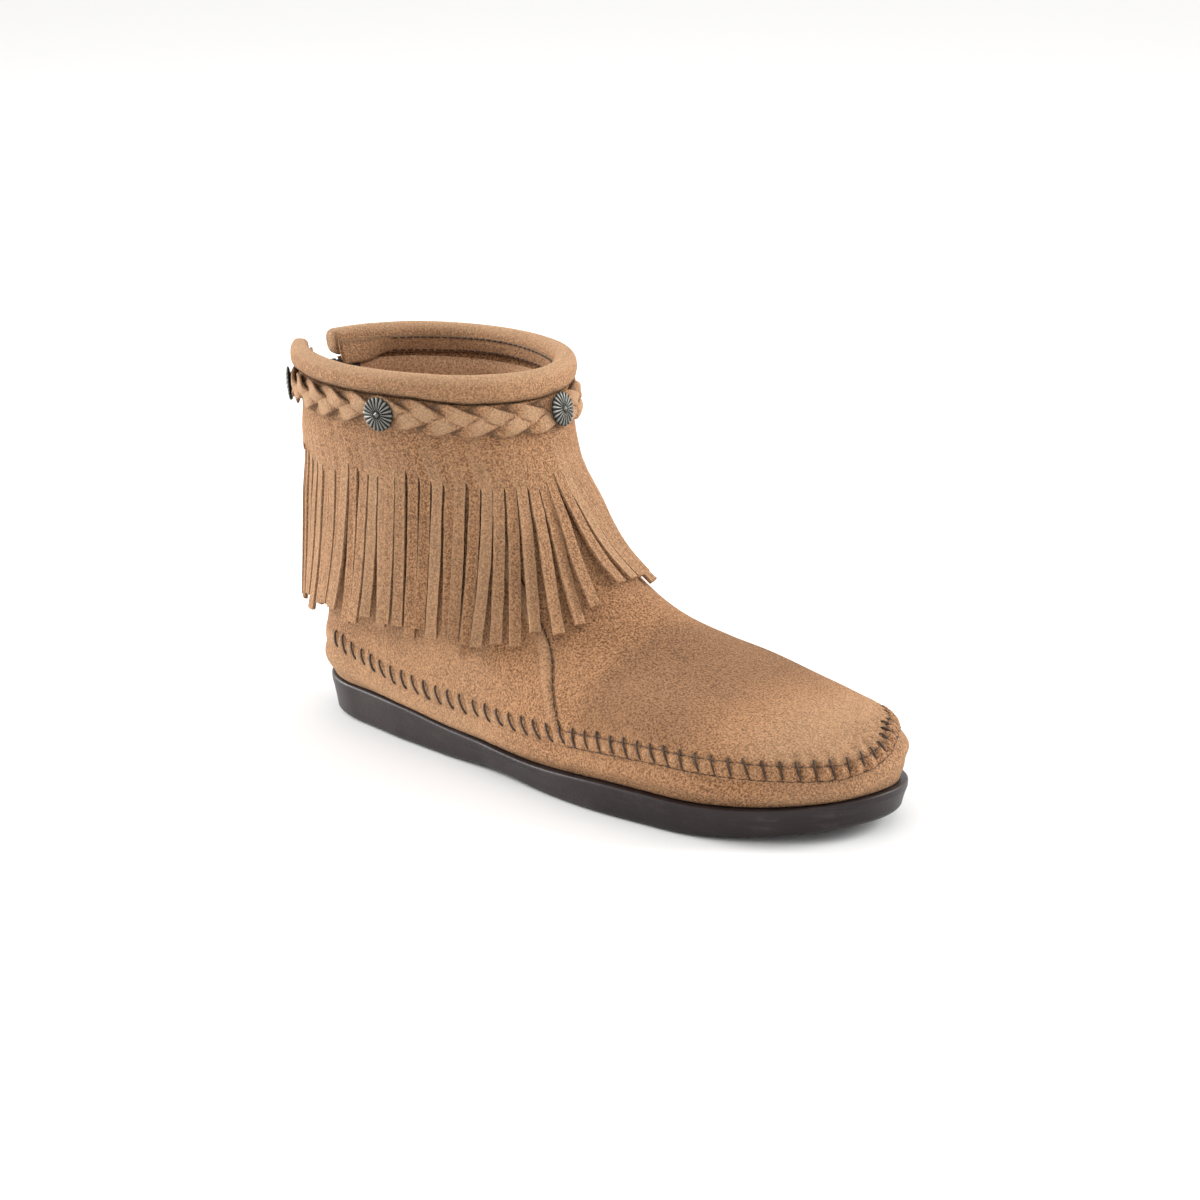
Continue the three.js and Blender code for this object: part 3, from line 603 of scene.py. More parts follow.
class NodeMaker:
    """Adds nodes to a tree and joins them."""

    def __init__(self, tree: bpy.types.NodeTree) -> None:
        """Starts on a tree."""
        self.tree = tree

    def node(self, kind: str, feeds: Optional[dict] = None, **settings) -> bpy.types.Node:
        """Adds a node.

        Args:
            kind: The node's type.
            feeds: A socket or a plain value for each input, by its name or number.
            settings: The node's own properties, set before its inputs.

        Returns:
            The new node.
        """
        made = self.tree.nodes.new(kind)
        for key, value in settings.items():
            setattr(made, key, value)
        self.feed(made, feeds or {})
        return made

    def feed(self, target: bpy.types.Node, feeds: dict) -> None:
        """Joins a socket to each named input of a node, or sets a plain value on it."""
        for key, value in feeds.items():
            if isinstance(value, bpy.types.NodeSocket):
                self.tree.links.new(value, target.inputs[key])
            else:
                target.inputs[key].default_value = value

    def combine(self, x, y, z) -> bpy.types.NodeSocket:
        """A vector from three numbers."""
        return self.node("ShaderNodeCombineXYZ", {"X": x, "Y": y, "Z": z}).outputs["Vector"]

    def math(self, operation: str, a, b=0.0, clamp: bool = False) -> bpy.types.NodeSocket:
        """A math node's result."""
        return self.node("ShaderNodeMath", {0: a, 1: b}, operation=operation, use_clamp=clamp).outputs[0]


class Shader(NodeMaker):
    """Colours, masks and numbers for a material or a shader group."""

    def total(self, *terms: tuple) -> bpy.types.NodeSocket:
        """Adds up numbers, each times its weight."""
        first, *rest = [self.math("MULTIPLY", value, weight) for value, weight in terms]
        for term in rest:
            first = self.math("ADD", first, term)
        return first

    def spread(self, value, low: float, high: float, to_low: float = 0.0, to_high: float = 1.0):
        """Maps a range onto another with eased ends."""
        feeds = {"Value": value, "From Min": low, "From Max": high, "To Min": to_low, "To Max": to_high}
        return self.node("ShaderNodeMapRange", feeds, interpolation_type="SMOOTHSTEP").outputs["Result"]

    def blend(self, share, a, b) -> bpy.types.NodeSocket:
        """A colour mixed from two, each a socket or a plain colour."""
        made = self.node("ShaderNodeMix", {"Factor": share}, data_type="RGBA")
        for key, value in (("A", a), ("B", b)):
            self.feed(made, {key: value if isinstance(value, bpy.types.NodeSocket) else (*value, 1.0)})
        return made.outputs["Result"]

    def noise(self, vector, scale: float, detail: float = 2.0, rough: float = 0.5, bend: float = 0.0):
        """A noise value, with its scale in waves to a metre."""
        feeds = {"Vector": vector, "Scale": scale, "Detail": detail, "Roughness": rough, "Distortion": bend}
        return self.node("ShaderNodeTexNoise", feeds).outputs["Fac"]

    def bump(self, height, depth: float) -> bpy.types.NodeSocket:
        """The normal of a surface that a height from 0 to 1 raises by up to a depth."""
        return self.node("ShaderNodeBump", {"Height": height, "Distance": depth, "Strength": 1.0}).outputs[0]

    def object_coords(self) -> bpy.types.NodeSocket:
        """The piece's own place, in metres."""
        return self.node("ShaderNodeTexCoord").outputs["Object"]

    def value_of(self, name: str) -> bpy.types.NodeSocket:
        """A number stored on the piece's corners."""
        return self.node("ShaderNodeAttribute", attribute_name=name).outputs["Fac"]


class Effects:
    """Shader groups that several finishes share."""

    CLUMPS = 1400.0
    FUZZ = 3300.0
    PATCHES = 34.0
    BRUSHED = 9.0
    RUBS = 70.0
    PITS = 900.0
    STREAKS = (60.0, 60.0, 900.0)

    def __init__(self) -> None:
        """Builds each group once."""
        self.nap = self._group("suede_nap", "Contrast", "Tone", self._nap)
        self.scuff = self._group("rubbed_patches", "Amount", "Mask", self._scuff)

    @staticmethod
    def _group(name: str, setting: str, result: str, fill: Callable) -> bpy.types.NodeTree:
        """Makes a group that reads a place and one setting.

        Args:
            name: The group's name.
            setting: The name of its setting, 1 if it isn't fed.
            result: The name of its first output; the second is its height.
            fill: Adds its nodes and gives the two results.

        Returns:
            The group.
        """
        group = bpy.data.node_groups.new(name, "ShaderNodeTree")
        group.interface.new_socket("Vector", in_out="INPUT", socket_type="NodeSocketVector")
        amount = group.interface.new_socket(setting, in_out="INPUT", socket_type="NodeSocketFloat")
        amount.default_value = 1.0
        for label in (result, "Height"):
            group.interface.new_socket(label, in_out="OUTPUT", socket_type="NodeSocketFloat")
        s = Shader(group)
        given = s.node("NodeGroupInput").outputs
        mask, height = fill(s, given["Vector"], given[setting])
        s.node("NodeGroupOutput", {result: mask, "Height": height})
        return group

    def _nap(self, s: Shader, vector, contrast) -> tuple:
        """Suede's nap: curly clumps under a millimetre across, brushed patches and fine fuzz."""
        clumps = s.noise(vector, self.CLUMPS, 2.0, 0.6, 0.4)
        fuzz = s.noise(vector, self.FUZZ, 2.0, 0.6)
        patches = s.math("SUBTRACT", s.noise(vector, self.PATCHES, 3.0, 0.6, 0.8), 0.5)
        brushed = s.math("SUBTRACT", s.noise(vector, self.BRUSHED), 0.5)
        tone = s.total((s.spread(clumps, 0.3, 0.7), 0.78), (fuzz, 0.22), (patches, 0.3), (brushed, 0.6))
        centred = s.math("MULTIPLY", s.math("SUBTRACT", tone, 0.5), contrast)
        return s.math("ADD", centred, 0.5, True), s.total((clumps, 0.75), (fuzz, 0.3))

    def _scuff(self, s: Shader, vector, amount) -> tuple:
        """Rubbed patches and fine streaks on rubber."""
        patches = s.noise(vector, self.RUBS, 4.0, 0.65, 0.4)
        drawn = s.node("ShaderNodeMapping", {"Vector": vector, "Scale": self.STREAKS}, vector_type="POINT")
        lines = s.noise(drawn.outputs["Vector"], 1.0, 3.0, 0.6)
        both = s.math("MULTIPLY", s.spread(patches, 0.45, 0.7), s.spread(lines, 0.4, 0.7))
        return s.math("MULTIPLY", both, amount, True), s.noise(vector, self.PITS, 2.0, 0.6)


@dataclass(frozen=True)
class Finish:
    """A material by its name and what its surface is fed."""

    name: str

    def make(self, effects: Effects) -> bpy.types.Material:
        """Builds the material.

        Args:
            effects: The shared shader groups.

        Returns:
            The material.
        """
        material = bpy.data.materials.new(self.name)
        material.use_nodes = True
        shader = Shader(material.node_tree)
        shader.feed(material.node_tree.nodes["Principled BSDF"], self.feeds(shader, effects))
        return material

    def feeds(self, s: Shader, effects: Effects) -> dict:
        """A socket or a plain value for each surface input that this finish sets."""
        raise NotImplementedError


@dataclass(frozen=True)
class Suede(Finish):
    """Napped tan suede, darkened by painted shade in its creases and hollows, and lightened by painted
    highlights mixed with wear.
    """

    dark: Colour = (0.155, 0.057, 0.021)
    light: Colour = (0.63, 0.325, 0.157)
    painted_shade_and_tone: Colour = (0.06, 0.028, 0.015)
    bright_wear_and_highlight: Colour = (0.70, 0.45, 0.27)
    contrast: float = 1.45
    depth: float = 0.0020
    marked: bool = True

    def feeds(self, s: Shader, effects: Effects) -> dict:
        """Suede's inputs."""
        place = {"Vector": s.object_coords(), "Contrast": self.contrast}
        nap = s.node("ShaderNodeGroup", place, node_tree=effects.nap)
        colour = s.blend(nap.outputs["Tone"], self.dark, self.light)
        if self.marked:
            # Painted shade darkens the nap towards a deep brown, then painted highlights mixed with some wear
            # lighten it
            for mask, most, shade in (("painted_shade_and_tone", 0.86, self.painted_shade_and_tone), ("wear_and_painted_highlight", 0.6, self.bright_wear_and_highlight)):
                colour = s.blend(s.spread(s.value_of(mask), 0.0, 1.0, 0.0, most), colour, shade)
        return {
            "Base Color": colour, "Roughness": 0.95, "Specular IOR Level": 0.15,
            "Sheen Weight": 0.25, "Sheen Roughness": 0.5, "Sheen Tint": (0.85, 0.62, 0.42, 1.0),
            "Normal": s.bump(nap.outputs["Height"], self.depth),
        }


@dataclass(frozen=True)
class SoleRubber(Finish):
    """Dark brown moulded rubber with a dusty bloom."""

    base: Colour = (0.014, 0.008, 0.0085)
    dust: Colour = (0.05, 0.037, 0.036)
    bloom: float = 22.0
    depth: float = 0.00012

    def feeds(self, s: Shader, effects: Effects) -> dict:
        """Rubber's inputs."""
        vector = s.object_coords()
        wear_and_painted_highlight = s.node("ShaderNodeGroup", {"Vector": vector, "Amount": 0.9}, node_tree=effects.scuff)
        cloud = s.spread(s.noise(vector, self.bloom, 3.0, 0.6), 0.35, 0.75, 0.0, 0.4)
        share = s.math("ADD", wear_and_painted_highlight.outputs["Mask"], cloud, True)
        return {
            "Base Color": s.blend(share, self.base, self.dust),
            "Roughness": s.spread(share, 0.0, 1.0, 0.42, 0.62), "Specular IOR Level": 0.32,
            "Normal": s.bump(wear_and_painted_highlight.outputs["Height"], self.depth),
        }


@dataclass(frozen=True)
class Thread(Finish):
    """Twisted waxed thread."""

    dark: Colour = (0.028, 0.015, 0.009)
    light: Colour = (0.15, 0.083, 0.05)
    twists: float = 900.0
    wear: float = 500.0
    depth: float = 0.0001

    def feeds(self, s: Shader, effects: Effects) -> dict:
        """Thread's inputs."""
        vector = s.object_coords()
        waves = {"Vector": vector, "Scale": self.twists, "Distortion": 2.0}
        wave = s.node("ShaderNodeTexWave", waves, wave_type="BANDS", bands_direction="DIAGONAL")
        twist = wave.outputs["Fac"]
        share = s.math("MULTIPLY", twist, s.noise(vector, self.wear))
        return {
            "Base Color": s.blend(share, self.dark, self.light), "Roughness": 0.62,
            "Normal": s.bump(twist, self.depth),
        }


@dataclass(frozen=True)
class DarkMetal(Finish):
    """Oxidised cast metal, rubbed bright on its ridges."""

    pit: Colour = (0.006, 0.006, 0.006)
    ridge: Colour = (0.27, 0.265, 0.235)
    by_ridge: bool = True
    cast: float = 1500.0
    depth: float = 0.00006

    def feeds(self, s: Shader, effects: Effects) -> dict:
        """Metal's inputs."""
        grain = s.noise(s.object_coords(), self.cast, 2.0, 0.6)
        share = s.value_of("ridge") if self.by_ridge else s.spread(grain, 0.3, 0.8, 0.25, 0.75)
        share = s.math("MULTIPLY", share, s.spread(grain, 0.25, 0.75, 0.55, 1.0), True)
        return {
            "Base Color": s.blend(share, self.pit, self.ridge), "Metallic": 0.9,
            "Roughness": s.spread(grain, 0.2, 0.8, 0.34, 0.52), "Normal": s.bump(grain, self.depth),
        }


@dataclass(frozen=True)
class Woven(Finish):
    """The zip's tape and its nylon teeth."""

    dark: Colour = (0.010, 0.009, 0.009)
    light: Colour = (0.035, 0.033, 0.032)
    pitch: float = 0.0006
    rough: float = 0.85
    depth: float = 0.00012

    def feeds(self, s: Shader, effects: Effects) -> dict:
        """Weave's inputs."""
        parts = s.node("ShaderNodeSeparateXYZ", {0: s.object_coords()}).outputs
        turn = 2 * math.pi / self.pitch
        warp = s.math("SINE", s.math("MULTIPLY", s.math("ADD", parts["X"], parts["Y"]), turn))
        weft = s.math("SINE", s.math("MULTIPLY", parts["Z"], turn))
        weave = s.math("ADD", s.math("MULTIPLY", s.math("MULTIPLY", warp, weft), 0.5), 0.5)
        return {
            "Base Color": s.blend(weave, self.dark, self.light), "Roughness": self.rough,
            "Sheen Weight": 0.1, "Normal": s.bump(weave, self.depth),
        }


@dataclass(frozen=True)
class StudioFloor(Finish):
    """Pale seamless paper."""

    grey: float = 0.84

    def feeds(self, s: Shader, effects: Effects) -> dict:
        """Paper's inputs."""
        return {"Base Color": (self.grey,) * 3 + (1.0,), "Roughness": 0.9, "Specular IOR Level": 0.1}


class Finishes:
    """Every material of the boot and its studio."""

    def __init__(self) -> None:
        """Builds each material once."""
        lining = Suede("suede_lining", (0.36, 0.175, 0.09), (0.66, 0.41, 0.245), depth=0.0004, marked=False)
        insole = Suede("insole_lining", (0.25, 0.14, 0.08), (0.5, 0.33, 0.2), depth=0.0002, marked=False)
        teeth = Woven("zip_teeth", light=(0.05, 0.048, 0.046), pitch=0.0003, rough=0.45)
        plan = {
            "upper": Suede("suede_upper"), "fringe": Suede("suede_fringe"), "trim": Suede("suede_trim"),
            "inside": lining, "insole": insole, "rubber": SoleRubber("sole_rubber"),
            "thread": Thread("dark_thread"),
            "tan_thread": Thread("tan_thread", (0.12, 0.06, 0.03), (0.3, 0.17, 0.09)),
            "metal": DarkMetal("dark_metal"),
            "zip_metal": DarkMetal("zip_metal", ridge=(0.2, 0.19, 0.18), by_ridge=False),
            "tape": Woven("zip_tape"), "teeth": teeth, "floor": StudioFloor("studio_floor"),
        }
        effects = Effects()
        self.made = {key: finish.make(effects) for key, finish in plan.items()}

    def __getitem__(self, key: str) -> bpy.types.Material:
        """The material of a kind of piece."""
        return self.made[key]


class GeometryTree(NodeMaker):
    """A geometry node tree that puts one shape on every point of a run."""

    def __init__(self, name: str, sizes: dict) -> None:
        """Starts a tree.

        Args:
            name: The tree's name.
            sizes: Its named number inputs and their usual values, in metres.
        """
        super().__init__(bpy.data.node_groups.new(name, "GeometryNodeTree"))
        self.tree.interface.new_socket("Geometry", in_out="OUTPUT", socket_type="NodeSocketGeometry")
        self.sockets: dict[str, str] = {}
        kinds = {"Geometry": "Geometry", **dict.fromkeys(sizes, "Float"), "Material": "Material"}
        for key, kind in kinds.items():
            socket = self.tree.interface.new_socket(key, in_out="INPUT", socket_type=f"NodeSocket{kind}")
            self.sockets[key] = socket.identifier
            if key in sizes:
                socket.default_value = sizes[key]
        self.given = self.node("NodeGroupInput").outputs

    def scatter(self, shape: bpy.types.NodeSocket, across, smooth: bool) -> None:
        """Puts a shape on every point and ends the tree in Realize Instances and Set Material.

        Args:
            shape: The shape, 1 m long along X and facing up Z.
            across: Its scale along Y and Z.
            smooth: Whether its faces are shaded smooth.
        """
        stored = {}
        for key, kind in (("run", "FLOAT_VECTOR"), ("facing", "FLOAT_VECTOR"), ("span", "FLOAT")):
            reader = self.node("GeometryNodeInputNamedAttribute", {"Name": key}, data_type=kind)
            stored[key] = reader.outputs["Attribute"]
        axes = {"Primary Axis": stored["run"], "Secondary Axis": stored["facing"]}
        turn = self.node("FunctionNodeAxesToRotation", axes, primary_axis="X", secondary_axis="Z")
        feeds = {
            "Points": self.given["Geometry"], "Instance": shape, "Rotation": turn.outputs["Rotation"],
            "Scale": self.combine(stored["span"], across, across),
        }
        copies = self.node("GeometryNodeInstanceOnPoints", feeds).outputs["Instances"]
        if smooth:
            copies = self.node("GeometryNodeSetShadeSmooth", {"Geometry": copies}).outputs["Geometry"]
        solid = self.node("GeometryNodeRealizeInstances", {"Geometry": copies}).outputs["Geometry"]
        paint = {"Geometry": solid, "Material": self.given["Material"]}
        painted = self.node("GeometryNodeSetMaterial", paint).outputs["Geometry"]
        self.node("NodeGroupOutput", {"Geometry": painted})


class StitchTree(GeometryTree):
    """A thread bar, bowed over the surface, on every point of a run."""

    HANDLE = 0.42
    THIN = 0.9
    THICK = 1.12
    SEED = 7

    def __init__(self) -> None:
        """Builds the tree."""
        super().__init__("thread_stitches", {"Thread radius": 0.0004, "Bow": 0.0006, "Sides": 5.0})
        bow = self.given["Bow"]
        path = {
            "Resolution": 6, "Start": (-0.5, 0.0, 0.0), "End": (0.5, 0.0, 0.0),
            "Start Handle": self.combine(-self.HANDLE, 0.0, bow),
            "End Handle": self.combine(self.HANDLE, 0.0, bow),
        }
        curve = self.node("GeometryNodeCurvePrimitiveBezierSegment", path).outputs["Curve"]
        circle = {"Resolution": self.given["Sides"], "Radius": self.given["Thread radius"]}
        ring = self.node("GeometryNodeCurvePrimitiveCircle", circle).outputs["Curve"]
        tube = self.node(
            "GeometryNodeCurveToMesh", {"Curve": curve, "Profile Curve": ring, "Fill Caps": True}
        )
        ends = {"Seed": self.SEED, 2: self.THIN, 3: self.THICK}
        vary = self.node("FunctionNodeRandomValue", ends, data_type="FLOAT")
        self.scatter(tube.outputs["Mesh"], vary.outputs[1], True)


class BarTree(GeometryTree):
    """A tapered bar on every point, for tread ribs and zip teeth."""

    def __init__(self) -> None:
        """Builds the tree."""
        super().__init__("moulded_bars", {"Width": 0.002, "Height": 0.001, "Taper": 0.7})
        size = self.combine(1.0, self.given["Width"], self.given["Height"])
        block = self.node("GeometryNodeMeshCube", {"Size": size}).outputs["Mesh"]
        place = self.node("GeometryNodeInputPosition").outputs["Position"]
        parts = self.node("ShaderNodeSeparateXYZ", {0: place}).outputs
        test = {"data_type": "FLOAT", "operation": "GREATER_THAN"}
        above = self.node("FunctionNodeCompare", {"A": parts["Z"]}, **test)
        narrow = self.math("MULTIPLY", parts["Y"], self.given["Taper"])
        feeds = {
            "Geometry": block, "Selection": above.outputs["Result"],
            "Position": self.combine(parts["X"], narrow, parts["Z"]),
        }
        self.scatter(self.node("GeometryNodeSetPosition", feeds).outputs["Geometry"], 1.0, False)


@dataclass
class Run:
    """Points of a repeated thing, with its direction, the way it faces and its length in mm."""

    points: Array
    run: Array
    facing: Array
    span: Array

    @staticmethod
    def joined(runs: Sequence["Run"]) -> "Run":
        """Several runs as one."""
        fields = ("points", "run", "facing", "span")
        return Run(*(np.concatenate([getattr(r, field) for r in runs]) for field in fields))

    @staticmethod
    def between(a: Array, b: Array, facing: Array) -> "Run":
        """Stitches between pairs of points."""
        return Run((a + b) / 2, unit(b - a), facing, np.linalg.norm(b - a, axis=1))


@dataclass
class Workshop:
    """What every sub-assembly is made with."""

    form: BootForm
    shaft: Shaft
    finishes: Finishes
    stitches: StitchTree
    bars: BarTree

    def dress(self, piece, finish: str, slot: str, stands_for: str = "", body: Body = Body.BOOT):
        """Gives a piece its material and its body, and hides the CAD node that it stands for.

        Args:
            piece: The object.
            finish: The name of its material among the finishes.
            slot: A material slot's name, not used.
            stands_for: The CAD node that it replaces, if any.
            body: The body that it rides on.

        Returns:
            The piece.
        """
        piece.data.materials.clear()
        piece.data.materials.append(self.finishes[finish])
        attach(piece, body.value)
        if stands_for:
            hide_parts(stands_for)
        faces = sum(len(p.vertices) - 2 for p in piece.data.polygons)
        LOG.info("%s: %d triangles, %s", piece.name, faces, finish)
        return piece

    def spread(self, name: str, tree: GeometryTree, run: Run, finish: str, sizes: dict) -> bpy.types.Object:
        """Puts a tree's shape on every point of a run and turns the result to a plain mesh.

        Args:
            name: The piece's name.
            tree: The tree to use.
            run: Where its copies go.
            finish: The name of their material among the finishes.
            sizes: The tree's named sizes, in metres.

        Returns:
            The piece, still to be dressed.
        """
        seed = new_piece(name + "_points", run.points, [])
        for key, values in (("run", run.run), ("facing", run.facing)):
            attribute = seed.data.attributes.new(key, "FLOAT_VECTOR", "POINT")
            attribute.data.foreach_set("vector", np.asarray(values, np.float32).ravel())
        set_values(seed, "span", np.asarray(run.span) * MM)
        modifier = seed.modifiers.new("spread", "NODES")
        modifier.node_group = tree.tree
        modifier[tree.sockets["Material"]] = self.finishes[finish]
        for key, value in sizes.items():
            modifier[tree.sockets[key]] = float(value)
        graph = bpy.context.evaluated_depsgraph_get()
        mesh = bpy.data.meshes.new_from_object(seed.evaluated_get(graph))
        mesh.name = name
        mesh.polygons.foreach_set("material_index", np.zeros(len(mesh.polygons), np.int32))
        seed.modifiers.clear()
        bpy.data.objects.remove(seed)
        return linked(name, mesh)

    def sew(self, name: str, run: Run, slot: str, size: tuple, thread: str = "thread") -> bpy.types.Object:
        """Makes the stitches of a run.

        Args:
            name: The piece's name.
            run: Where its stitches lie.
            slot: A material slot's name, passed on to dress, which does not use it.
            size: The thread's radius and bow in millimetres, and its number of sides.
            thread: The name of its material among the finishes.

        Returns:
            The finished stitches.
        """
        radius, bow, sides = size
        sizes = {"Thread radius": radius * MM, "Bow": bow * MM, "Sides": sides}
        return self.dress(self.spread(name, self.stitches, run, thread, sizes), thread, slot)


# The upper


@dataclass
class Upper:
    """The suede wall, its whipstitched seam, side seams, folded zip edges and lining."""

    shop: Workshop
    columns: int = 440
    slot_cells: int = 6
    outer_wall: float = 0.95
    rear_pitch: float = 5.8
    middle_pitch: float = 7.0
    front_pitch: float = 5.9
    stitch_span: float = 7.0
    rib_low: float = -3.4
    rib_high: float = 1.4

    SEAM_LINE = (
        (0.0, 2.75), (0.06, 2.72), (0.1, 2.6), (0.118, 2.25), (0.137, 1.95), (0.156, 1.72),
        (0.188, 1.7), (0.24, 1.8), (0.26, 1.88), (0.31, 1.92), (0.343, 1.98), (0.376, 1.86),
        (0.41, 1.68), (0.43, 1.58), (0.454, 1.5), (0.481, 1.64), (0.5, 1.9), (0.518, 2.3),
        (0.54, 2.5), (0.58, 2.35), (0.64, 2.0), (0.7, 1.85), (0.8, 1.75), (0.85, 1.8),
        (0.882, 2.25), (0.9, 2.6), (0.94, 2.72), (1.0, 2.75),
    )
    SIDE_SEAM = (
        (20, 153.5), (27, 150.6), (32.5, 147.0), (40.4, 141.0), (48, 134.5), (53, 129),
        (60, 121), (72, 110), (90, 100), (132, 93),
    )
    # Soft hollows (-) and swells (+): x, height, reach along x, reach up, depth; both sides
    FOLDS = (
        (122, 45, 24, 15, -1.4), (84, 42, 26, 18, 0.9), (150, 50, 20, 12, 0.7),
        (60, 60, 26, 8, -0.8), (46, 49, 22, 7, 0.5), (178, 40, 30, 10, 0.4),
        (104, 66, 18, 7, -1.0), (28, 40, 18, 12, 0.5), (205, 36, 16, 9, -0.5),
    )
    # How far parts of the outer face stand out, or sink, in millimetres
    FRONT_RIB = 1.25
    STITCH_PULL = 0.7
    TOE_GATHERS = 0.45
    STRAP = 0.8
    STRAP_GROOVE = 0.6
    STRAP_LINE = 0.3
    SOFT_WAVE = 0.28
    SIDE_SWELL = 1.1
    ZIP_FOLD = 0.45
    SHAFT_MOST = 0.25
    # The most that painted shade darkens seams, holes, straps and the vamp, and that painted highlights
    # lighten the strap band, the swells, the toe and the heel
    HOLE_SHADE = 0.6
    LINE_SHADE = 0.4
    GROOVE_SHADE = 0.55
    FOOT_SHADE = 0.45
    STRAP_SHADE = 0.3
    VAMP_SHADE = 0.42
    STRAP_HIGHLIGHT = 0.3
    SWELL_HIGHLIGHT = 0.4
    TOE_HIGHLIGHT = 0.55
    HEEL_HIGHLIGHT = 0.35
    # Where the vamp starts along x, and over how far its finish fades in
    VAMP_START = 146.0
    VAMP_FADE = 16.0
    # Distance from the back to the first whipstitch, clear of the heel tab
    TAB_CLEAR = 34.0

    def __post_init__(self) -> None:
        """Sets out the rows and the grid's turns."""
        parts = [np.linspace(0, 0.9, 12)[:-1], np.linspace(0.9, 3.4, 62)[:-1], np.linspace(3.4, 11, 90)]
        self.rows = np.concatenate(parts)
        form = self.shop.form
        half = form.zip_opening / 2
        start = form.turn_at_width(-half, self.rows)[:, None]
        end = form.turn_at_width(half, self.rows)[:, None]
        self.start, self.end = start[:, 0], end[:, 0]
        open_cells = self.columns - self.slot_cells
        c = np.arange(self.columns)[None, :]
        along = mix(start, end, np.minimum(c, open_cells) / open_cells)
        behind = mix(end, start + 1, np.clip((c - open_cells) / self.slot_cells, 0, 1))
        self.turns = np.where(c <= open_cells, along, behind) % 1.0
        row = np.broadcast_to(self.rows[:, None], self.turns.shape)
        self.plain = form.face(self.turns, row)
        self.normals = form.normal(self.turns, row)
        steps = np.linalg.norm(np.diff(self.plain, axis=0), axis=2)
        climb = np.concatenate([np.zeros((1, self.columns)), np.cumsum(steps, axis=0)])
        self.seam_rows = self.seam_row(self.turns[40])
        seam_climb = np.array([np.interp(r, self.rows, climb[:, i]) for i, r in enumerate(self.seam_rows)])
        self.above = climb - seam_climb[None, :]
        line = form.face(self.turns[40], self.seam_rows)
        self.run = np.concatenate([[0], np.cumsum(np.linalg.norm(np.diff(line, axis=0), axis=1))])
        self.seam_x = line[:, 0]
        self.stitch_runs = self._stitch_runs()

    def seam_row(self, turn) -> Array:
        """The row of the whipstitched seam at a turn."""
        return np.interp(turn, *zip(*self.SEAM_LINE))

    def side_seam_x(self, height) -> Array:
        """Where the side seam stands at a height."""
        return np.interp(height, *zip(*self.SIDE_SEAM))

    def front_share(self, x) -> Array:
        """0 behind the side seams, easing to 1 over the vamp."""
        return ease((np.asarray(x) - self.VAMP_START) / self.VAMP_FADE)

    def _stitch_runs(self) -> Array:
        """Places of the whipstitches along the seam, clear of the heel tab."""
        places, at = [], self.run[0] + self.TAB_CLEAR
        while at < self.run[-1] - self.TAB_CLEAR:
            places.append(at)
            at += float(self.pitch_at(np.interp(at, self.run, self.seam_x)))
        return np.array(places)

    def pitch_at(self, x) -> Array:
        """Distance between whipstitches at an x."""
        rear = mix(self.rear_pitch, self.middle_pitch, ease(np.asarray(x) / 90.0))
        return mix(rear, self.front_pitch, self.front_share(x))

    def relief(self) -> tuple[Array, Array, Array]:
        """How far the outer face stands out at each grid point.

        Returns:
            The lift in millimetres, the painted shade mask and the painted highlight mask.
        """
        form, above = self.shop.form, self.above
        x, y, z = self.plain[..., 0], self.plain[..., 1], self.plain[..., 2]
        front = self.front_share(x)
        middle = (self.rib_low + self.rib_high) / 2
        half = (self.rib_high - self.rib_low) / 2
        rib = np.sqrt(np.clip(1 - ((above - middle) / (half + 0.5)) ** 2, 0, 1))
        lift = self.FRONT_RIB * form.seam_rib * rib * mix(0.25, 1.0, front)
        gap = self.run[None, :, None] - self.stitch_runs[None, None, :]
        near = np.broadcast_to(np.abs(gap).min(axis=2), above.shape)
        pitch = self.pitch_at(x)
        toe = ease((x - 212.0) / 30.0)
        pull = bump_over(near / 2.1) * bump_over(above / (self.stitch_span * 0.62))
        lift = lift - self.STITCH_PULL * pull
        swell = 0.5 - 0.5 * np.cos(2 * math.pi * np.clip(near / pitch, 0, 0.5))
        reach_up = mix(6.0, 15.0, toe)
        fade = np.where(above > 0, bump_over(above / reach_up), bump_over(above / 6.0))
        lift = lift + (swell - 0.5) * mix(0.5, 1.5, toe) * fade
        gathers = np.sin(np.arctan2(y, 246.0 - x) * 13.0 + 0.8) * toe * np.exp(-(((above - 9) / 9) ** 2))
        lift = lift + self.TOE_GATHERS * gathers * (above > -2)
        off = x - self.side_seam_x(z)
        live = ease((above - 0.5) / 3.0)
        band = np.clip(ease((off + 5.2) / 1.3) - ease(off / 0.8), 0, 1)
        lift = lift + self.STRAP * band * live - self.STRAP_GROOVE * bump_over((off - 0.8) / 1.3) * live
        lift = lift - self.STRAP_LINE * bump_over((off + 5.6) / 1.4) * live
        for fx, fz, rx, rz, depth in self.FOLDS:
            lift = lift + depth * np.exp(-(((x - fx) / rx) ** 2) - ((z - fz) / rz) ** 2)
        wave = np.sin(x * 0.11 + z * 0.05 + 0.6) * np.sin(z * 0.13 + y * 0.06 + 1.1)
        lift = lift + self.SOFT_WAVE * wave * ease((above - 6.0) / 20.0)
        lift = lift + self.SIDE_SWELL * hump(np.clip((above + 15.0) / 11.0, 0, 1)) * (above < 0)
        behind = (x < 40) & (self.rows[:, None] > form.slot_row)
        lift = lift + self.ZIP_FOLD * bump_over((np.abs(y) - 7.4) / 3.4) * behind
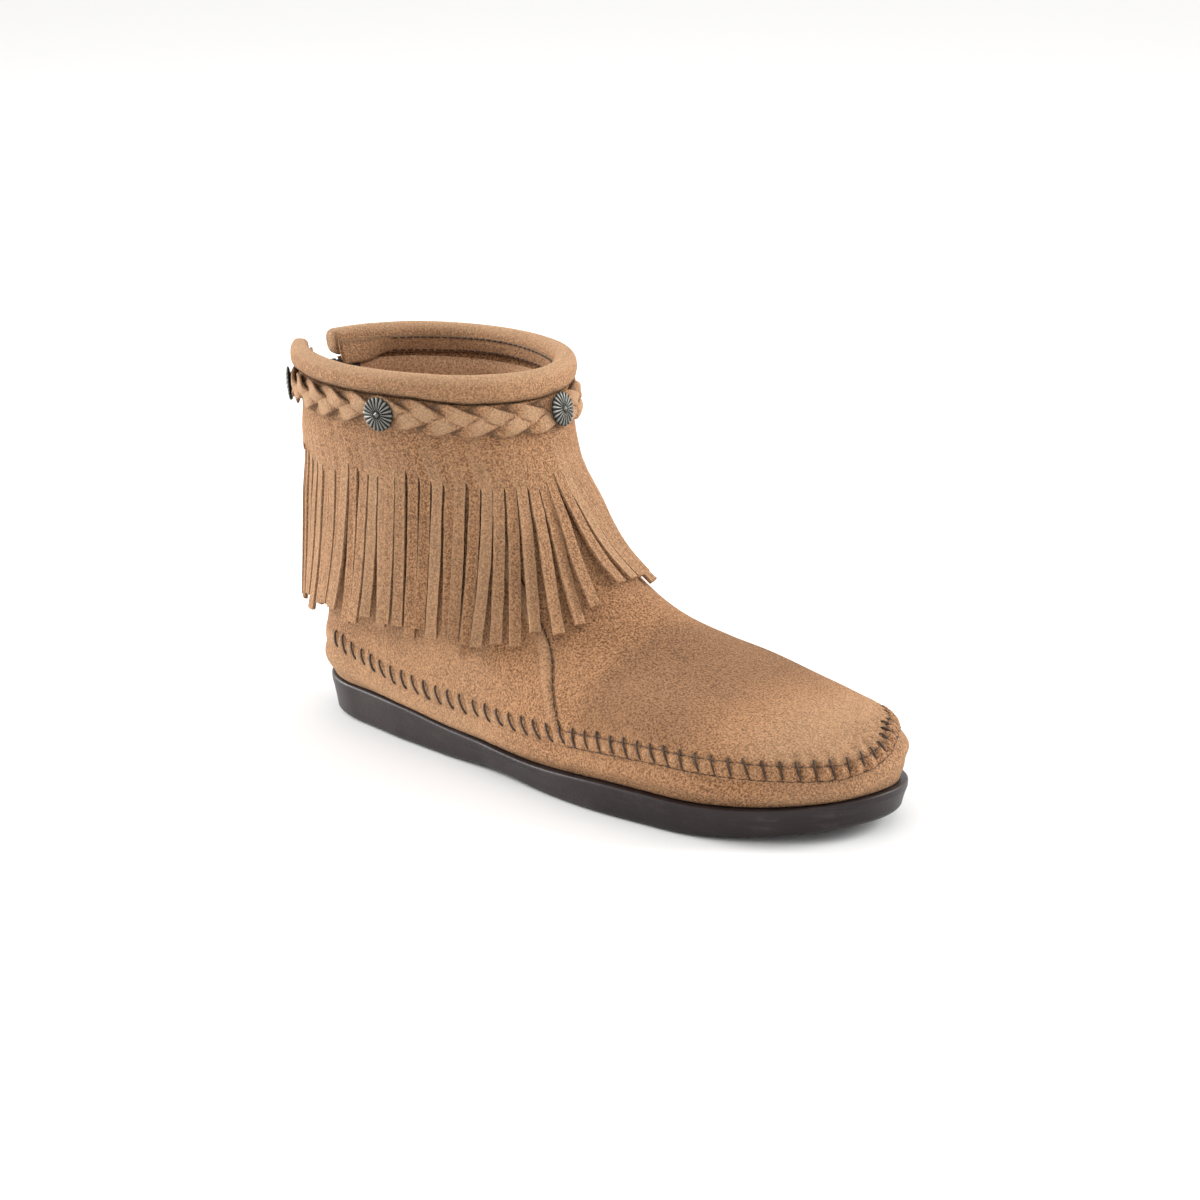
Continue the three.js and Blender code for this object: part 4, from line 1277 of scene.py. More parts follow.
        # The shaft keeps to the plain wall under the fringe and the plait
        lift = mix(lift, np.minimum(lift, self.SHAFT_MOST), ease((z - 84.0) / 12.0))
        reach = self.stitch_span / 2
        # Painted shade in the stitch holes, along the rib's edge lines, in the seam between stitches, in the
        # side seam's groove and along the strap's back edge; darker too at the foot of the upper by the sole
        hole = bump_over(near) * (bump_over((above - reach) / 1.1) + bump_over((above + reach) / 1.1))
        line = bump_over((above - self.rib_low + 0.3) / 0.9) + bump_over((above - self.rib_high - 0.3) / 0.9)
        painted_shade_and_tone = self.HOLE_SHADE * hole + self.LINE_SHADE * line * front
        painted_shade_and_tone = painted_shade_and_tone + 0.2 * bump_over(above / 5.0) * (1 - near / pitch)
        painted_shade_and_tone = painted_shade_and_tone + self.GROOVE_SHADE * bump_over((off - 0.9) / 1.3) * live
        painted_shade_and_tone = painted_shade_and_tone + self.FOOT_SHADE * bump_over(self.rows / 0.3)[:, None]
        painted_shade_and_tone = painted_shade_and_tone + self.STRAP_SHADE * bump_over(off + 5.6) * live
        # Painted highlights on the strap band, the swells between stitches, the toe top, the heel half and
        # the band under the seam, most at the toe
        wear_and_painted_highlight = self.STRAP_HIGHLIGHT * band * live + self.SWELL_HIGHLIGHT * swell * bump_over((above - middle) / 3.5)
        wear_and_painted_highlight = wear_and_painted_highlight + self.TOE_HIGHLIGHT * ease((x - 205) / 35) * ease(above / 4.0)
        wear_and_painted_highlight = wear_and_painted_highlight + self.HEEL_HIGHLIGHT * (1 - ease((x - 95) / 60))
        wear_and_painted_highlight = wear_and_painted_highlight + mix(0.16, 0.4, ease((x - 225) / 20)) * ease((-3 - above) / 2.0)
        # Painted shade over the vamp's slope
        vamp = ease((x - 150) / 14) * (1 - ease((x - 195) / 40)) * ease(above / 6.0)
        painted_shade_and_tone = painted_shade_and_tone + self.VAMP_SHADE * vamp
        return lift, np.clip(painted_shade_and_tone, 0, 1), np.clip(wear_and_painted_highlight, 0, 1)

    def make(self) -> list[bpy.types.Object]:
        """Builds the wall, its lining and the seams.

        Returns:
            The pieces.
        """
        lift, painted_shade_and_tone, wear_and_painted_highlight = self.relief()
        self.outer = self.plain + self.normals * lift[..., None]
        self.outer[0, :, 2] = self.plain[0, :, 2]
        self.outer[-1, :, 2] = self.plain[-1, :, 2]
        wall = self._wall(painted_shade_and_tone, wear_and_painted_highlight)
        lining = self._lining()
        return [wall, lining, *self._seams()]

    def _wall(self, painted_shade_and_tone: Array, wear_and_painted_highlight: Array) -> bpy.types.Object:
        """The suede wall: a fine outer face and a plainer inner one, half as fine."""
        inner = self.plain[::2, ::2] - self.normals[::2, ::2] * self.outer_wall
        inner[0, :, 2] = self.plain[0, ::2, 2]
        inner[-1, :, 2] = self.plain[-1, ::2, 2]
        rows, columns = self.outer.shape[0] - 1, self.columns
        half_rows, half_columns = inner.shape[0] - 1, inner.shape[1]
        open_cells = columns - self.slot_cells
        slot = int(np.searchsorted(self.rows, self.shop.form.slot_row)) // 2 * 2
        count = (rows + 1) * columns
        r, c = np.meshgrid(np.arange(rows), np.arange(columns), indexing="ij")
        faces = grid_faces(rows, columns, True)[((c < open_cells) | (r < slot)).ravel()].tolist()
        r, c = np.meshgrid(np.arange(half_rows), np.arange(half_columns), indexing="ij")
        keep = ((c < open_cells // 2) | (r < slot // 2)).ravel()
        faces += grid_faces(half_rows, half_columns, True, count, True)[keep].tolist()

        fine = np.arange(count).reshape(rows + 1, columns)
        fine = np.hstack([fine, fine[:, :1]])
        plain = count + np.arange((half_rows + 1) * half_columns).reshape(half_rows + 1, half_columns)
        plain = np.hstack([plain, plain[:, :1]])
        half_open, half_slot = open_cells // 2, slot // 2
        edges = (
            (fine[0], plain[0], False),
            (fine[-1, : open_cells + 1], plain[-1, : half_open + 1], True),
            (fine[slot, open_cells:], plain[half_slot, half_open:], True),
            (fine[slot:, 0], plain[half_slot:, 0], True),
            (fine[slot:, open_cells], plain[half_slot:, half_open], False),
        )
        for fine_edge, plain_edge, flip in edges:
            faces += self._rim(fine_edge.tolist(), plain_edge.tolist(), flip)
        corners = np.concatenate([self.outer.reshape(-1, 3), inner.reshape(-1, 3)])
        piece = new_piece("upper_suede", corners, faces)
        zeros = np.zeros(inner.shape[0] * inner.shape[1])
        mark(piece, np.concatenate([painted_shade_and_tone.ravel(), zeros]), np.concatenate([wear_and_painted_highlight.ravel(), zeros]))
        drop_loose(piece)
        return self.shop.dress(piece, "upper", "suede_upper", "upper")

    @staticmethod
    def _rim(fine: list, plain: list, flip: bool) -> list:
        """Faces that join a fine edge to a plain edge with half as many cells."""
        faces = []
        for i in range(len(plain) - 1):
            a, b, d = fine[2 * i : 2 * i + 3]
            p, q = plain[i : i + 2]
            for face in ([a, p, b], [b, p, q], [b, q, d]):
                faces.append(face[::-1] if flip else face)
        return faces

    def _lining(self) -> bpy.types.Object:
        """A thin lining against the wall's inner face."""
        form = self.shop.form
        rows = np.concatenate([np.linspace(0.15, 3, 14)[:-1], np.linspace(3, 10.9, 34)])
        columns = 150
        start = form.turn_at_width(-form.zip_opening / 2 - 0.4, rows)[:, None]
        end = form.turn_at_width(form.zip_opening / 2 + 0.4, rows)[:, None]
        turns = mix(start, end, np.arange(columns + 1)[None, :] / columns)
        row = np.broadcast_to(rows[:, None], turns.shape)
        plain, out = form.face(turns, row), form.normal(turns, row)
        sag = 0.12 * np.sin(plain[..., 0] * 0.21) * np.sin(plain[..., 2] * 0.17)
        outer = plain - out * (self.outer_wall + 0.1)
        inner = plain - out * (form.upper_wall - sag)[..., None]
        piece = new_piece("upper_lining", *closed_wall(outer, inner, False))
        return self.shop.dress(piece, "inside", "suede_upper", "upper")

    def place(self, run, above, lift=0.0) -> tuple[Array, Array]:
        """Points of the finished outer face.

        Args:
            run: Distances along the whipstitched seam.
            above: Distances up the surface from it.
            lift: How far off the face.

        Returns:
            The points and the face's normals there.
        """
        run, above = np.broadcast_arrays(np.asarray(run, float), np.asarray(above, float))
        column = np.interp(run, self.run, np.arange(self.columns))
        return self._sample(column, None, above, lift)

    def at(self, turn, row, lift=0.0) -> tuple[Array, Array]:
        """Points of the finished outer face at turns and rows."""
        turn, row = np.broadcast_arrays(np.asarray(turn, float), np.asarray(row, float))
        start = np.interp(row, self.rows, self.start)
        end = np.interp(row, self.rows, self.end)
        column = (turn - start) / (end - start) * (self.columns - self.slot_cells)
        return self._sample(column, np.interp(row, self.rows, np.arange(len(self.rows))), None, lift)

    def _sample(self, column: Array, line: Optional[Array], above: Optional[Array], lift) -> tuple:
        """Reads the grid between its columns, at a grid line or at a distance above the seam."""
        left = np.floor(column).astype(int) % self.columns
        right = (left + 1) % self.columns
        share = (column - np.floor(column))[..., None]
        if line is None:
            pairs = [
                (np.interp(a, self.above[:, i], np.arange(len(self.rows))),
                 np.interp(a, self.above[:, j], np.arange(len(self.rows))))
                for a, i, j in zip(above.ravel(), left.ravel(), right.ravel())
            ]
            both = np.array(pairs).reshape(*above.shape, 2)
            line_left, line_right = both[..., 0], both[..., 1]
        else:
            line_left = line_right = line

        def read(grid: Array, col: Array, at: Array) -> Array:
            """Reads a column of a grid between its lines."""
            low = np.clip(np.floor(at).astype(int), 0, len(self.rows) - 2)
            return mix(grid[low, col], grid[low + 1, col], (at - low)[..., None])

        point = mix(read(self.outer, left, line_left), read(self.outer, right, line_right), share)
        out = unit(mix(read(self.normals, left, line_left), read(self.normals, right, line_right), share))
        return point + out * np.asarray(lift)[..., None], out

    def _seams(self) -> list[bpy.types.Object]:
        """Whipstitches, the rib's two fine lines and the seams' stitches."""
        shop = self.shop
        rng = np.random.default_rng(11)
        runs = self.stitch_runs
        x = np.interp(runs, self.run, self.seam_x)
        front = self.front_share(x)
        slant = mix(1.5, 0.45, front) + rng.uniform(-0.4, 0.4, len(runs))
        slant = slant * np.where(runs < self.run[-1] / 2, 1, -1)
        half = self.stitch_span / 2 * rng.uniform(0.84, 1.08, len(runs)) * mix(0.9, 1.08, front)
        middle = mix(0.0, 0.2, front)
        top, _ = self.place(runs - slant, middle + half, -0.15)
        low, _ = self.place(runs + slant, middle - half, -0.15)
        _, out = self.place(runs, middle, 0.0)
        whips = shop.sew("whipstitches", Run.between(low, top, out), "suede_upper", (0.4, 1.4, 6))
        lines = []
        for level in (self.rib_low - 0.25, self.rib_high + 0.25):
            along = np.arange(self.run[0] + 60, self.run[-1] - 60, 3.4)
            along = along[self.front_share(np.interp(along, self.run, self.seam_x)) > 0.5]
            lines.append(Run.between(*self._ends(along, level, 2.5)))
        fine = shop.sew("rib_lines", Run.joined(lines), "suede_upper", (0.16, 0.25, 4))
        sides = shop.sew("side_seam_stitches", self._side_dashes(), "suede_upper", (0.26, 0.3, 5))
        return [whips, fine, sides]

    def _ends(self, along: Array, level: float, span: float) -> tuple[Array, Array, Array]:
        """Both ends and the facing of dashes along the seam at one level."""
        a, _ = self.place(along - span / 2, level, 0.05)
        b, _ = self.place(along + span / 2, level, 0.05)
        _, out = self.place(along, level, 0.0)
        return a, b, out

    def _side_dashes(self) -> Run:
        """Dark stitches down the side seams and along the zip's edges."""
        form = self.shop.form
        runs = []
        heights = np.arange(29.0, 74.0, 2.5)
        for inner_side in (False, True):
            ends = []
            for shift in (-0.95, 0.95):
                z = heights + shift
                x = self.side_seam_x(z) + 0.75
                row = form.row_at(x, z)
                back, front = form.loop_back(row), form.loop_front(row)
                along = np.clip((x - back) / (front - back), 0, 1)
                turn = np.arccos(1 - 2 * along) / (2 * math.pi)
                turn = 1 - turn if inner_side else turn
                ends.append(self.at(turn, row, 0.05))
            runs.append(Run.between(ends[0][0], ends[1][0], ends[0][1]))
        rows = np.arange(3.0, 10.4, 0.19)
        for side in (-1, 1):
            ends = [
                self.at(form.turn_at_width(side * 8.6, rows + s), rows + s, 0.08) for s in (-0.065, 0.065)
            ]
            runs.append(Run.between(ends[0][0], ends[1][0], ends[0][1]))
        return Run.joined(runs)


# The sole


@dataclass
class Outsole:
    """The rubber sole with its lip, recessed waist and ribbed tread."""

    shop: Workshop
    steps: int = 300
    groove: float = 0.8
    lip_step: float = 0.05
    rim: float = 3.0
    rib_pitch: float = 4.6

    def make(self) -> list[bpy.types.Object]:
        """Builds the sole and its tread ribs.

        Returns:
            The pieces.
        """
        form = self.shop.form
        turn = np.arange(self.steps) / self.steps
        along = (1 - np.cos(2 * math.pi * turn)) / 2
        waist = hump((along * form.length - form.arch_back) / (form.arch_front - form.arch_back))
        step = self.lip_step + form.waist_recess * waist
        deep, lip = form.tread_inset, form.lip_height
        under_lip = 0.02 * deep
        heel_in = 1.3 * (1 - ease(along * form.length / 60.0))
        rings = []

        def ring(inset, height: Callable[[Array], Array]) -> None:
            """Adds a ring inside the outline, at a height for each x."""
            x, y = form.sole_plan(turn, inset + heel_in)
            rings.append(np.stack([x, y, height(x)], -1))

        low, high = form.tread_height, form.sole_top
        r = form.tread_round
        ring(deep + step + r + self.rim, lambda x: low(x) + self.groove)
        ring(deep + step + r + self.rim - 0.3, lambda x: low(x) + self.groove)
        ring(deep + step + r + self.rim - 0.6, low)
        for a in np.linspace(0, math.pi / 2, 5):
            inset = deep * mix(1.0, 0.72, 1 - math.cos(a)) + step + r * (1 - math.sin(a)) * 0.8
            ring(inset, lambda x, a=a: low(x) + r * (1 - math.cos(a)))
        for t in np.linspace(0.12, 0.92, 8):
            inset = mix(0.72, 0.02, t) * deep + step + 0.15 * math.sin(math.pi * t)
            ring(inset, lambda x, t=t: mix(low(x) + r, high(x) - lip - form.lip_proud, t))
        lip_rings = (
            (under_lip + step, lip + 0.35), (under_lip + step * 0.6, lip + 0.1), (0.12, lip - 0.05),
            (0.04, lip - 0.35), (0.0, lip * 0.5), (0.06, 0.45), (0.35, 0.12), (0.8, 0.0), (4.5, 0.0),
        )
        for inset, below in lip_rings:
            ring(inset, lambda x, below=below: high(x) - below)
        points = np.concatenate(rings)
        faces = grid_faces(len(rings) - 1, self.steps, True).tolist()
        top = (len(rings) - 1) * self.steps
        for base, flip in ((0, True), (top, False)):
            for i in range(self.steps // 2):
                j = self.steps - i
                face = [base + i, base + i + 1, base + (j - 1) % self.steps, base + j % self.steps]
                face = list(dict.fromkeys(face))
                faces.append(face[::-1] if flip else face)
        sole = new_piece("sole_body", points, faces)
        self.shop.dress(sole, "rubber", "sole_rubber", "outsole")
        return [sole, self._ribs()]

    def _ribs(self) -> bpy.types.Object:
        """Tread ribs under the heel and the forefoot."""
        form = self.shop.form
        dense = np.linspace(0, 0.5, 801)
        inset = form.tread_inset + form.lip_proud + form.waist_recess + form.tread_round + self.rim + 1.2
        outer, inner = form.sole_plan(dense, inset), form.sole_plan(1 - dense, inset)
        x = np.concatenate([np.arange(14, 74, self.rib_pitch), np.arange(150, 250, self.rib_pitch)])
        y_out, y_in = np.interp(x, *outer), np.interp(x, *inner)
        z = form.tread_height(x) + self.groove / 2
        slope = form.tread_height(x + 0.5) - form.tread_height(x - 0.5)
        facing = unit(np.stack([slope, np.zeros(len(x)), -np.ones(len(x))], -1))
        ribs = Run(
            np.stack([x, (y_out + y_in) / 2, z], -1), np.tile([0.0, 1.0, 0.0], (len(x), 1)),
            facing, y_in - y_out,
        )
        sizes = {"Width": 0.0026, "Height": self.groove * MM, "Taper": 0.72}
        piece = self.shop.spread("tread_ribs", self.shop.bars, ribs, "rubber", sizes)
        return self.shop.dress(piece, "rubber", "sole_rubber")


# The trim


@dataclass
class CollarRoll:
    """The padded roll, its cut ends, the facing under it and their stitches."""

    shop: Workshop
    stations: int = 300
    around: int = 30
    near_end: float = 15.0
    far_end: float = 3.8
    facing_top: float = 136.8
    facing_low: float = 130.2

    def make(self) -> list[bpy.types.Object]:
        """Builds the roll and its facing.

        Returns:
            The pieces.
        """
        form, shaft = self.shop.form, self.shop.shaft
        distance = np.linspace(self.near_end, shaft.girth - self.far_end, self.stations)
        turn = shaft.turn(distance)
        out = form.normal(turn, form.top_row)
        out[:, 2] = 0
        out = unit(out)
        middle = form.face(turn, form.top_row) + out * form.roll_shift
        middle[:, 2] = form.collar_height - form.roll_height / 2
        angle = 2 * math.pi * (np.arange(self.around) + 0.5) / self.around
        end = np.minimum(distance - self.near_end, shaft.girth - self.far_end - distance)
        close = mix(0.84, 1.0, np.sqrt(np.clip(end / 1.4, 0, 1)))
        pinch = mix(0.95, 1.0, ease(end / 22.0))
        plump = 1 + 0.022 * value_noise(distance / 17.0, 3) + 0.012 * value_noise(distance / 6.0, 4)
        plump = np.minimum(plump, 1.0)
        flat = mix(0.9, 1.0, ease(end / 16.0))
        wide = form.roll_thickness / 2 * close * pinch * plump * flat
        tall = form.roll_height / 2 * close * mix(0.95, 1.0, ease(end / 14.0)) * plump
        power = mix(0.62, 0.9, ease(end / 20.0))[:, None]
        cos, sin = np.cos(angle), np.sin(angle)
        section_out = np.sign(cos) * np.abs(cos)[None, :] ** power
        section_up = np.sign(sin) * np.abs(sin)[None, :] ** power
        wrinkle = 0.16 * value_noise(distance[:, None] / 3.1 + 2.0 * sin[None, :], 9)
        wrinkle = wrinkle * ease((-sin[None, :] + 0.35) / 1.0) * ease(end / 8.0)[:, None]
        reach_out = wide[:, None] * section_out + wrinkle * cos[None, :]
        reach_up = tall[:, None] * section_up + wrinkle * np.maximum(0, sin[None, :])
        points = middle[:, None, :] + out[:, None, :] * reach_out[..., None]
        points[..., 2] += reach_up
        shell = points[:, ::-1].reshape(-1, 3)
        roll = new_piece("collar_padding", shell, tube_faces(self.stations, self.around))
        # Painted shade along the roll's underside and at its tucked ends; a painted highlight along its top,
        # over an even lighter tone
        painted_shade_and_tone = bump_over((sin + 1.0) / 0.35)[None, :] * np.ones((self.stations, 1)) * 0.75
        painted_shade_and_tone = painted_shade_and_tone + (1 - ease(end / 3.0))[:, None] * 0.4
        wear_and_painted_highlight = mix(0.42, 0.8, bump_over((sin - 0.9) / 0.8))[None, :] * np.ones((self.stations, 1))
        mark(roll, np.clip(painted_shade_and_tone[:, ::-1], 0, 1), np.clip(wear_and_painted_highlight[:, ::-1], 0, 1))
        self.shop.dress(roll, "trim", "suede_collar", "collar_roll")
        return [roll, *self._facing()]

    def _facing(self) -> list[bpy.types.Object]:
        """The strip inside the collar, with its two rows of stitches."""
        form, shaft = self.shop.form, self.shop.shaft
        columns, rows = 190, 8
        distance = np.linspace(self.near_end - 1.0, shaft.girth - self.far_end - 0.4, columns + 1)
        turn = shaft.turn(distance)[None, :]
        heights = np.linspace(self.facing_low, self.facing_top, rows + 1)[:, None]
        climb = (heights - self.facing_low) / (self.facing_top - self.facing_low)
        by_zip = 1 - ease((np.minimum(distance, shaft.girth - distance) - 14.0) / 9.0)[None, :]
        dip = (0.5 * np.sin(distance * 0.09)[None, :] - 3.2 * by_zip) * (1 - climb)
        swell = 0.2 * hump(climb) + 0.1 * np.sin(distance * 0.33)[None, :]
        base = -form.upper_wall - 0.1 - 1.6 * climb**0.75 - 1.0 * by_zip * (1 - climb)
        outer = form.shaft(turn, heights + dip, base)
        inner = form.shaft(turn, heights + dip, base - 0.75 - swell)
        strip = new_piece("collar_facing", *closed_wall(outer, inner, False))
        # Painted shade along the facing's lower edge and under the roll at its top, over an even lighter tone
        shade = 0.7 * bump_over(climb / 0.2) + 0.7 * bump_over((climb - 0.95) / 0.25)
        shade = np.broadcast_to(shade, inner.shape[:2])
        mark(strip, np.tile(shade.ravel(), 2), np.full(2 * shade.size, 0.5))
        self.shop.dress(strip, "trim", "suede_upper")
        runs = []
        along = np.arange(24.0, shaft.girth - 24.0, 2.9)
        for height, depth in ((self.facing_top - 0.7, 2.5), (self.facing_low + 0.8, 1.35)):
            level = height + 0.4 * np.sin(along * 0.09)
            ends = [form.shaft(shaft.turn(along + s), level, -form.upper_wall - depth) for s in (-1.0, 1.0)]
            runs.append(Run.between(*ends, -form.normal(shaft.turn(along), form.top_row)))
        return [strip, self.shop.sew("collar_stitches", Run.joined(runs), "suede_upper", (0.3, 0.3, 5))]


@dataclass
class Braid:
    """A flat three-strand plait round the shaft."""

    shop: Workshop
    stations: int = 420
    around: int = 12
    lace_width: float = 5.9
    lace_thick: float = 1.3

    def make(self) -> bpy.types.Object:
        """Builds the three laces as one piece.

        Returns:
            The plait.
        """
        form, shaft = self.shop.form, self.shop.shaft
        gap = form.braid_end_gap
        distance = np.linspace(gap / 2, shaft.girth - gap / 2, self.stations)
        end = np.minimum(distance - gap / 2, shaft.girth - gap / 2 - distance)
        sway = (form.braid_width - self.lace_width) / 2
        base = form.fringe_out + form.fit_gap
        rise = (form.braid_backing + form.braid_raise - self.lace_thick) / 2
        points, faces, lace_painted_shade, lace_painted_highlight = [], [], [], []
        for strand in range(3):
            phase = 2 * math.pi * (strand / 3 - distance / form.braid_period)
            aside = 1.12 * sway * (np.sin(phase) - np.sin(3 * phase) / 9)
            over = 1.12 * rise * np.sin(2 * phase)
            pinch = mix(0.45, 1.0, ease(end / 5.0))
            height = form.braid_mid + aside * pinch
            turn = shaft.turn(distance)
            middle = form.shaft(turn, height, base + self.lace_thick / 2 + rise + over * pinch)
            run = unit(np.gradient(middle, axis=0))
            row = form.shaft_row(turn, height)
            out = form.normal(turn, row)
            # A lace tips where it turns at the plait's edge
            tip = 0.42 * np.cos(phase) * np.cos(2 * phase)
            across = unit(np.cross(out, run))
            face = unit(np.cross(run, across))
            across, face = (
                across * np.cos(tip)[:, None] + face * np.sin(tip)[:, None],
                face * np.cos(tip)[:, None] - across * np.sin(tip)[:, None],
            )
            angle = 2 * math.pi * (np.arange(self.around) + 0.5) / self.around
            flat_c = np.sign(np.cos(angle)) * np.abs(np.cos(angle)) ** 0.45
            flat_s = np.sign(np.sin(angle)) * np.abs(np.sin(angle)) ** 0.65
            width = self.lace_width / 2 * pinch * (1 + 0.05 * value_noise(distance / 7.0, 20 + strand))
            crown = 0.1 * (1 - np.cos(angle) ** 2)
            section = (
                across[:, None, :] * (width[:, None] * flat_c[None, :])[..., None]
                + face[:, None, :] * (self.lace_thick / 2 * flat_s + crown * np.sign(flat_s))[None, :, None]
            )
            start = sum(len(p) for p in points)
            points.append((middle[:, None, :] + section).reshape(-1, 3))
            faces += tube_faces(self.stations, self.around, start)
            # Painted shade along each lace's edges and where it dips under the others; a painted highlight
            # where it rides over them, over an even lighter tone
            edge = np.clip((np.abs(flat_c) - 0.8) / 0.2, 0, 1)[None, :]
            under = np.clip(-np.sin(2 * phase), 0, 1)[:, None]
            lace_painted_shade.append(np.clip(0.75 * edge + 0.9 * under**1.4, 0, 1).ravel())
            lace_painted_highlight.append((np.clip(np.sin(2 * phase), 0, 1)[:, None] * (1 - edge) * 0.6 + 0.3).ravel())
        plait = new_piece("collar_plait", np.concatenate(points), faces)
        mark(plait, np.concatenate(lace_painted_shade), np.concatenate(lace_painted_highlight))
        crisp(plait, 0.62)
        return self.shop.dress(plait, "trim", "suede_braid", "braid")


@dataclass
class Fringe:
    """The yoke and its hanging strips, cut from one piece of suede."""

    shop: Workshop
    stations: int = 16
    across: int = 3
    thick: float = 1.4
    clearance: float = 1.4
    strip_face: float = 3.9

    # Sideways reach of the tips, towards the toe on the outer side, by share of the girth
    SWAY = (
        (0, 0), (0.03, 1), (0.08, -1), (0.12, -6), (0.17, -8), (0.22, -6), (0.27, -1.5),
        (0.32, -1), (0.36, 0), (0.4, -3), (0.452, -6), (0.478, -8), (0.49, 3), (0.51, 1), (0.54, -4),
        (0.6, -1), (0.68, 2), (0.76, 4), (0.84, 6), (0.92, 2), (1, 0),
    )
    # How much longer the strips are, by share of the girth
    REACH = (
        (0, 2), (0.14, 2), (0.2, 0), (0.34, 1), (0.4, 4), (0.452, 3), (0.478, 0), (0.49, -7),
        (0.55, -9), (0.62, -3), (0.7, 0), (1, 2),
    )
    # Extra reach outwards at the tips
    KICK = (
        (0, 1.5), (0.05, 2.5), (0.09, 0.5), (0.2, 1), (0.3, 0.5), (0.4, 0.2), (0.478, 0.2),
        (0.49, 4), (0.5, 5), (0.54, 5), (0.6, 2), (0.75, 1), (0.92, 1), (1, 1.5),
    )
    # Every strip falls in steps, each pushed out of the foot by a few nudges
    FALL_STEPS = 170
    DROP = 0.5
    NUDGES = 14
    NUDGE = 0.12

    def make(self) -> bpy.types.Object:
        """Builds the fringe as one closed wall.

        Returns:
            The fringe.
        """
        form, shaft = self.shop.form, self.shop.shaft
        rng = np.random.default_rng(5)
        pitch = form.strip_width + form.strip_cut
        count = int((shaft.girth - form.fringe_end_gap + form.strip_cut) // pitch)
        first = (shaft.girth - count * pitch + form.strip_cut) / 2
        start = first + pitch * np.arange(count)
        share = (start + form.strip_width / 2) / shaft.girth
        number = np.arange(count)
        length = form.strip_length + 1.5 * np.sin(2.3 * number) + np.sin(5.1 * number)
        length = length + rng.uniform(-1.5, 1.0, count) + np.interp(share, *zip(*self.REACH))
        sway = np.interp(share, *zip(*self.SWAY)) + rng.normal(0, 1.3, count)
        kick = np.interp(share, *zip(*self.KICK)) * rng.uniform(0.4, 1.5, count)
        cuts = 2.6 * value_noise(number / 1.7, 31) + rng.uniform(-1.2, 1.2, count)
        centre, out, aside = self._hang(shaft.turn(start + form.strip_width / 2), length, sway, kick, cuts)
        twist = rng.normal(0, 0.11, count)[None, :] * (np.linspace(0, 1, self.stations) ** 1.3)[:, None]
        curl = rng.normal(0.0, 0.09, count)
        yoke = self._yoke_rows(start, cuts)
        layer = rng.uniform(0.0, 0.9, count)[None, :] * ease(np.linspace(0, 3, self.stations))[:, None]
        centre = centre + out * layer[..., None]
        lanes = np.linspace(-0.5, 0.5, self.across + 1)
        hang = np.empty((self.stations, count, self.across + 1, 3))
        turned = aside[None] * np.cos(twist)[..., None] + out * np.sin(twist)[..., None]
        face = out * np.cos(twist)[..., None] - aside[None] * np.sin(twist)[..., None]
        width = self.strip_face * mix(1.0, 1.08, ease(np.linspace(0, 2, self.stations)))[:, None]
        width = width * (1 + 0.03 * rng.normal(0, 1, (self.stations, count)))
        for k, lane in enumerate(lanes):
            cup = curl[None, :] * (4 * lane**2 - 0.5) * np.linspace(0, 1, self.stations)[:, None]
            hang[:, :, k] = centre + turned * (lane * width)[..., None] + face * cup[..., None]
        fronts = np.broadcast_to(face[:, :, None, :], hang.shape)
        low = np.concatenate([hang[::-1].reshape(self.stations, -1, 3), yoke[0]])
        lift = np.concatenate([fronts[::-1].reshape(self.stations, -1, 3) * self.thick, yoke[1]])
        cells = count * (self.across + 1) - 1
        is_cut = (np.arange(cells) % (self.across + 1)) == self.across
        present = np.ones((low.shape[0] - 1, cells), bool)
        present[: self.stations, is_cut] = False
        piece = new_piece("fringe_suede", *closed_wall(low + lift, low, False, present))
        # Strips differ in tone at random and their cut edges are lighter; painted shade darkens the tops of
        # the slits and the whole back face
        lane_edge = np.isin(np.arange(cells + 1) % (self.across + 1), (0, self.across)).astype(float)
        tone = np.repeat(rng.uniform(0, 1, count), self.across + 1)
        fade = np.concatenate([np.ones(self.stations), np.linspace(0.8, 0, low.shape[0] - self.stations)])
        wear_and_painted_highlight = 0.2 + fade[:, None] * (0.25 * lane_edge + 0.4 * tone)[None, :]
        painted_shade_and_tone = fade[:, None] * (0.14 * (1 - tone) * (1 - lane_edge))[None, :]
        root = np.zeros(low.shape[0])
        root[self.stations] = 0.3
        painted_shade_and_tone = np.maximum(painted_shade_and_tone, root[:, None] * lane_edge[None, :])
        painted_shade_and_tone = np.concatenate([painted_shade_and_tone.ravel(), np.full(painted_shade_and_tone.size, 0.35)])
        mark(piece, painted_shade_and_tone, np.concatenate([wear_and_painted_highlight.ravel(), np.zeros(wear_and_painted_highlight.size)]))
        drop_loose(piece)
        crisp(piece)
        return self.shop.dress(piece, "fringe", "suede_fringe", "fringe")

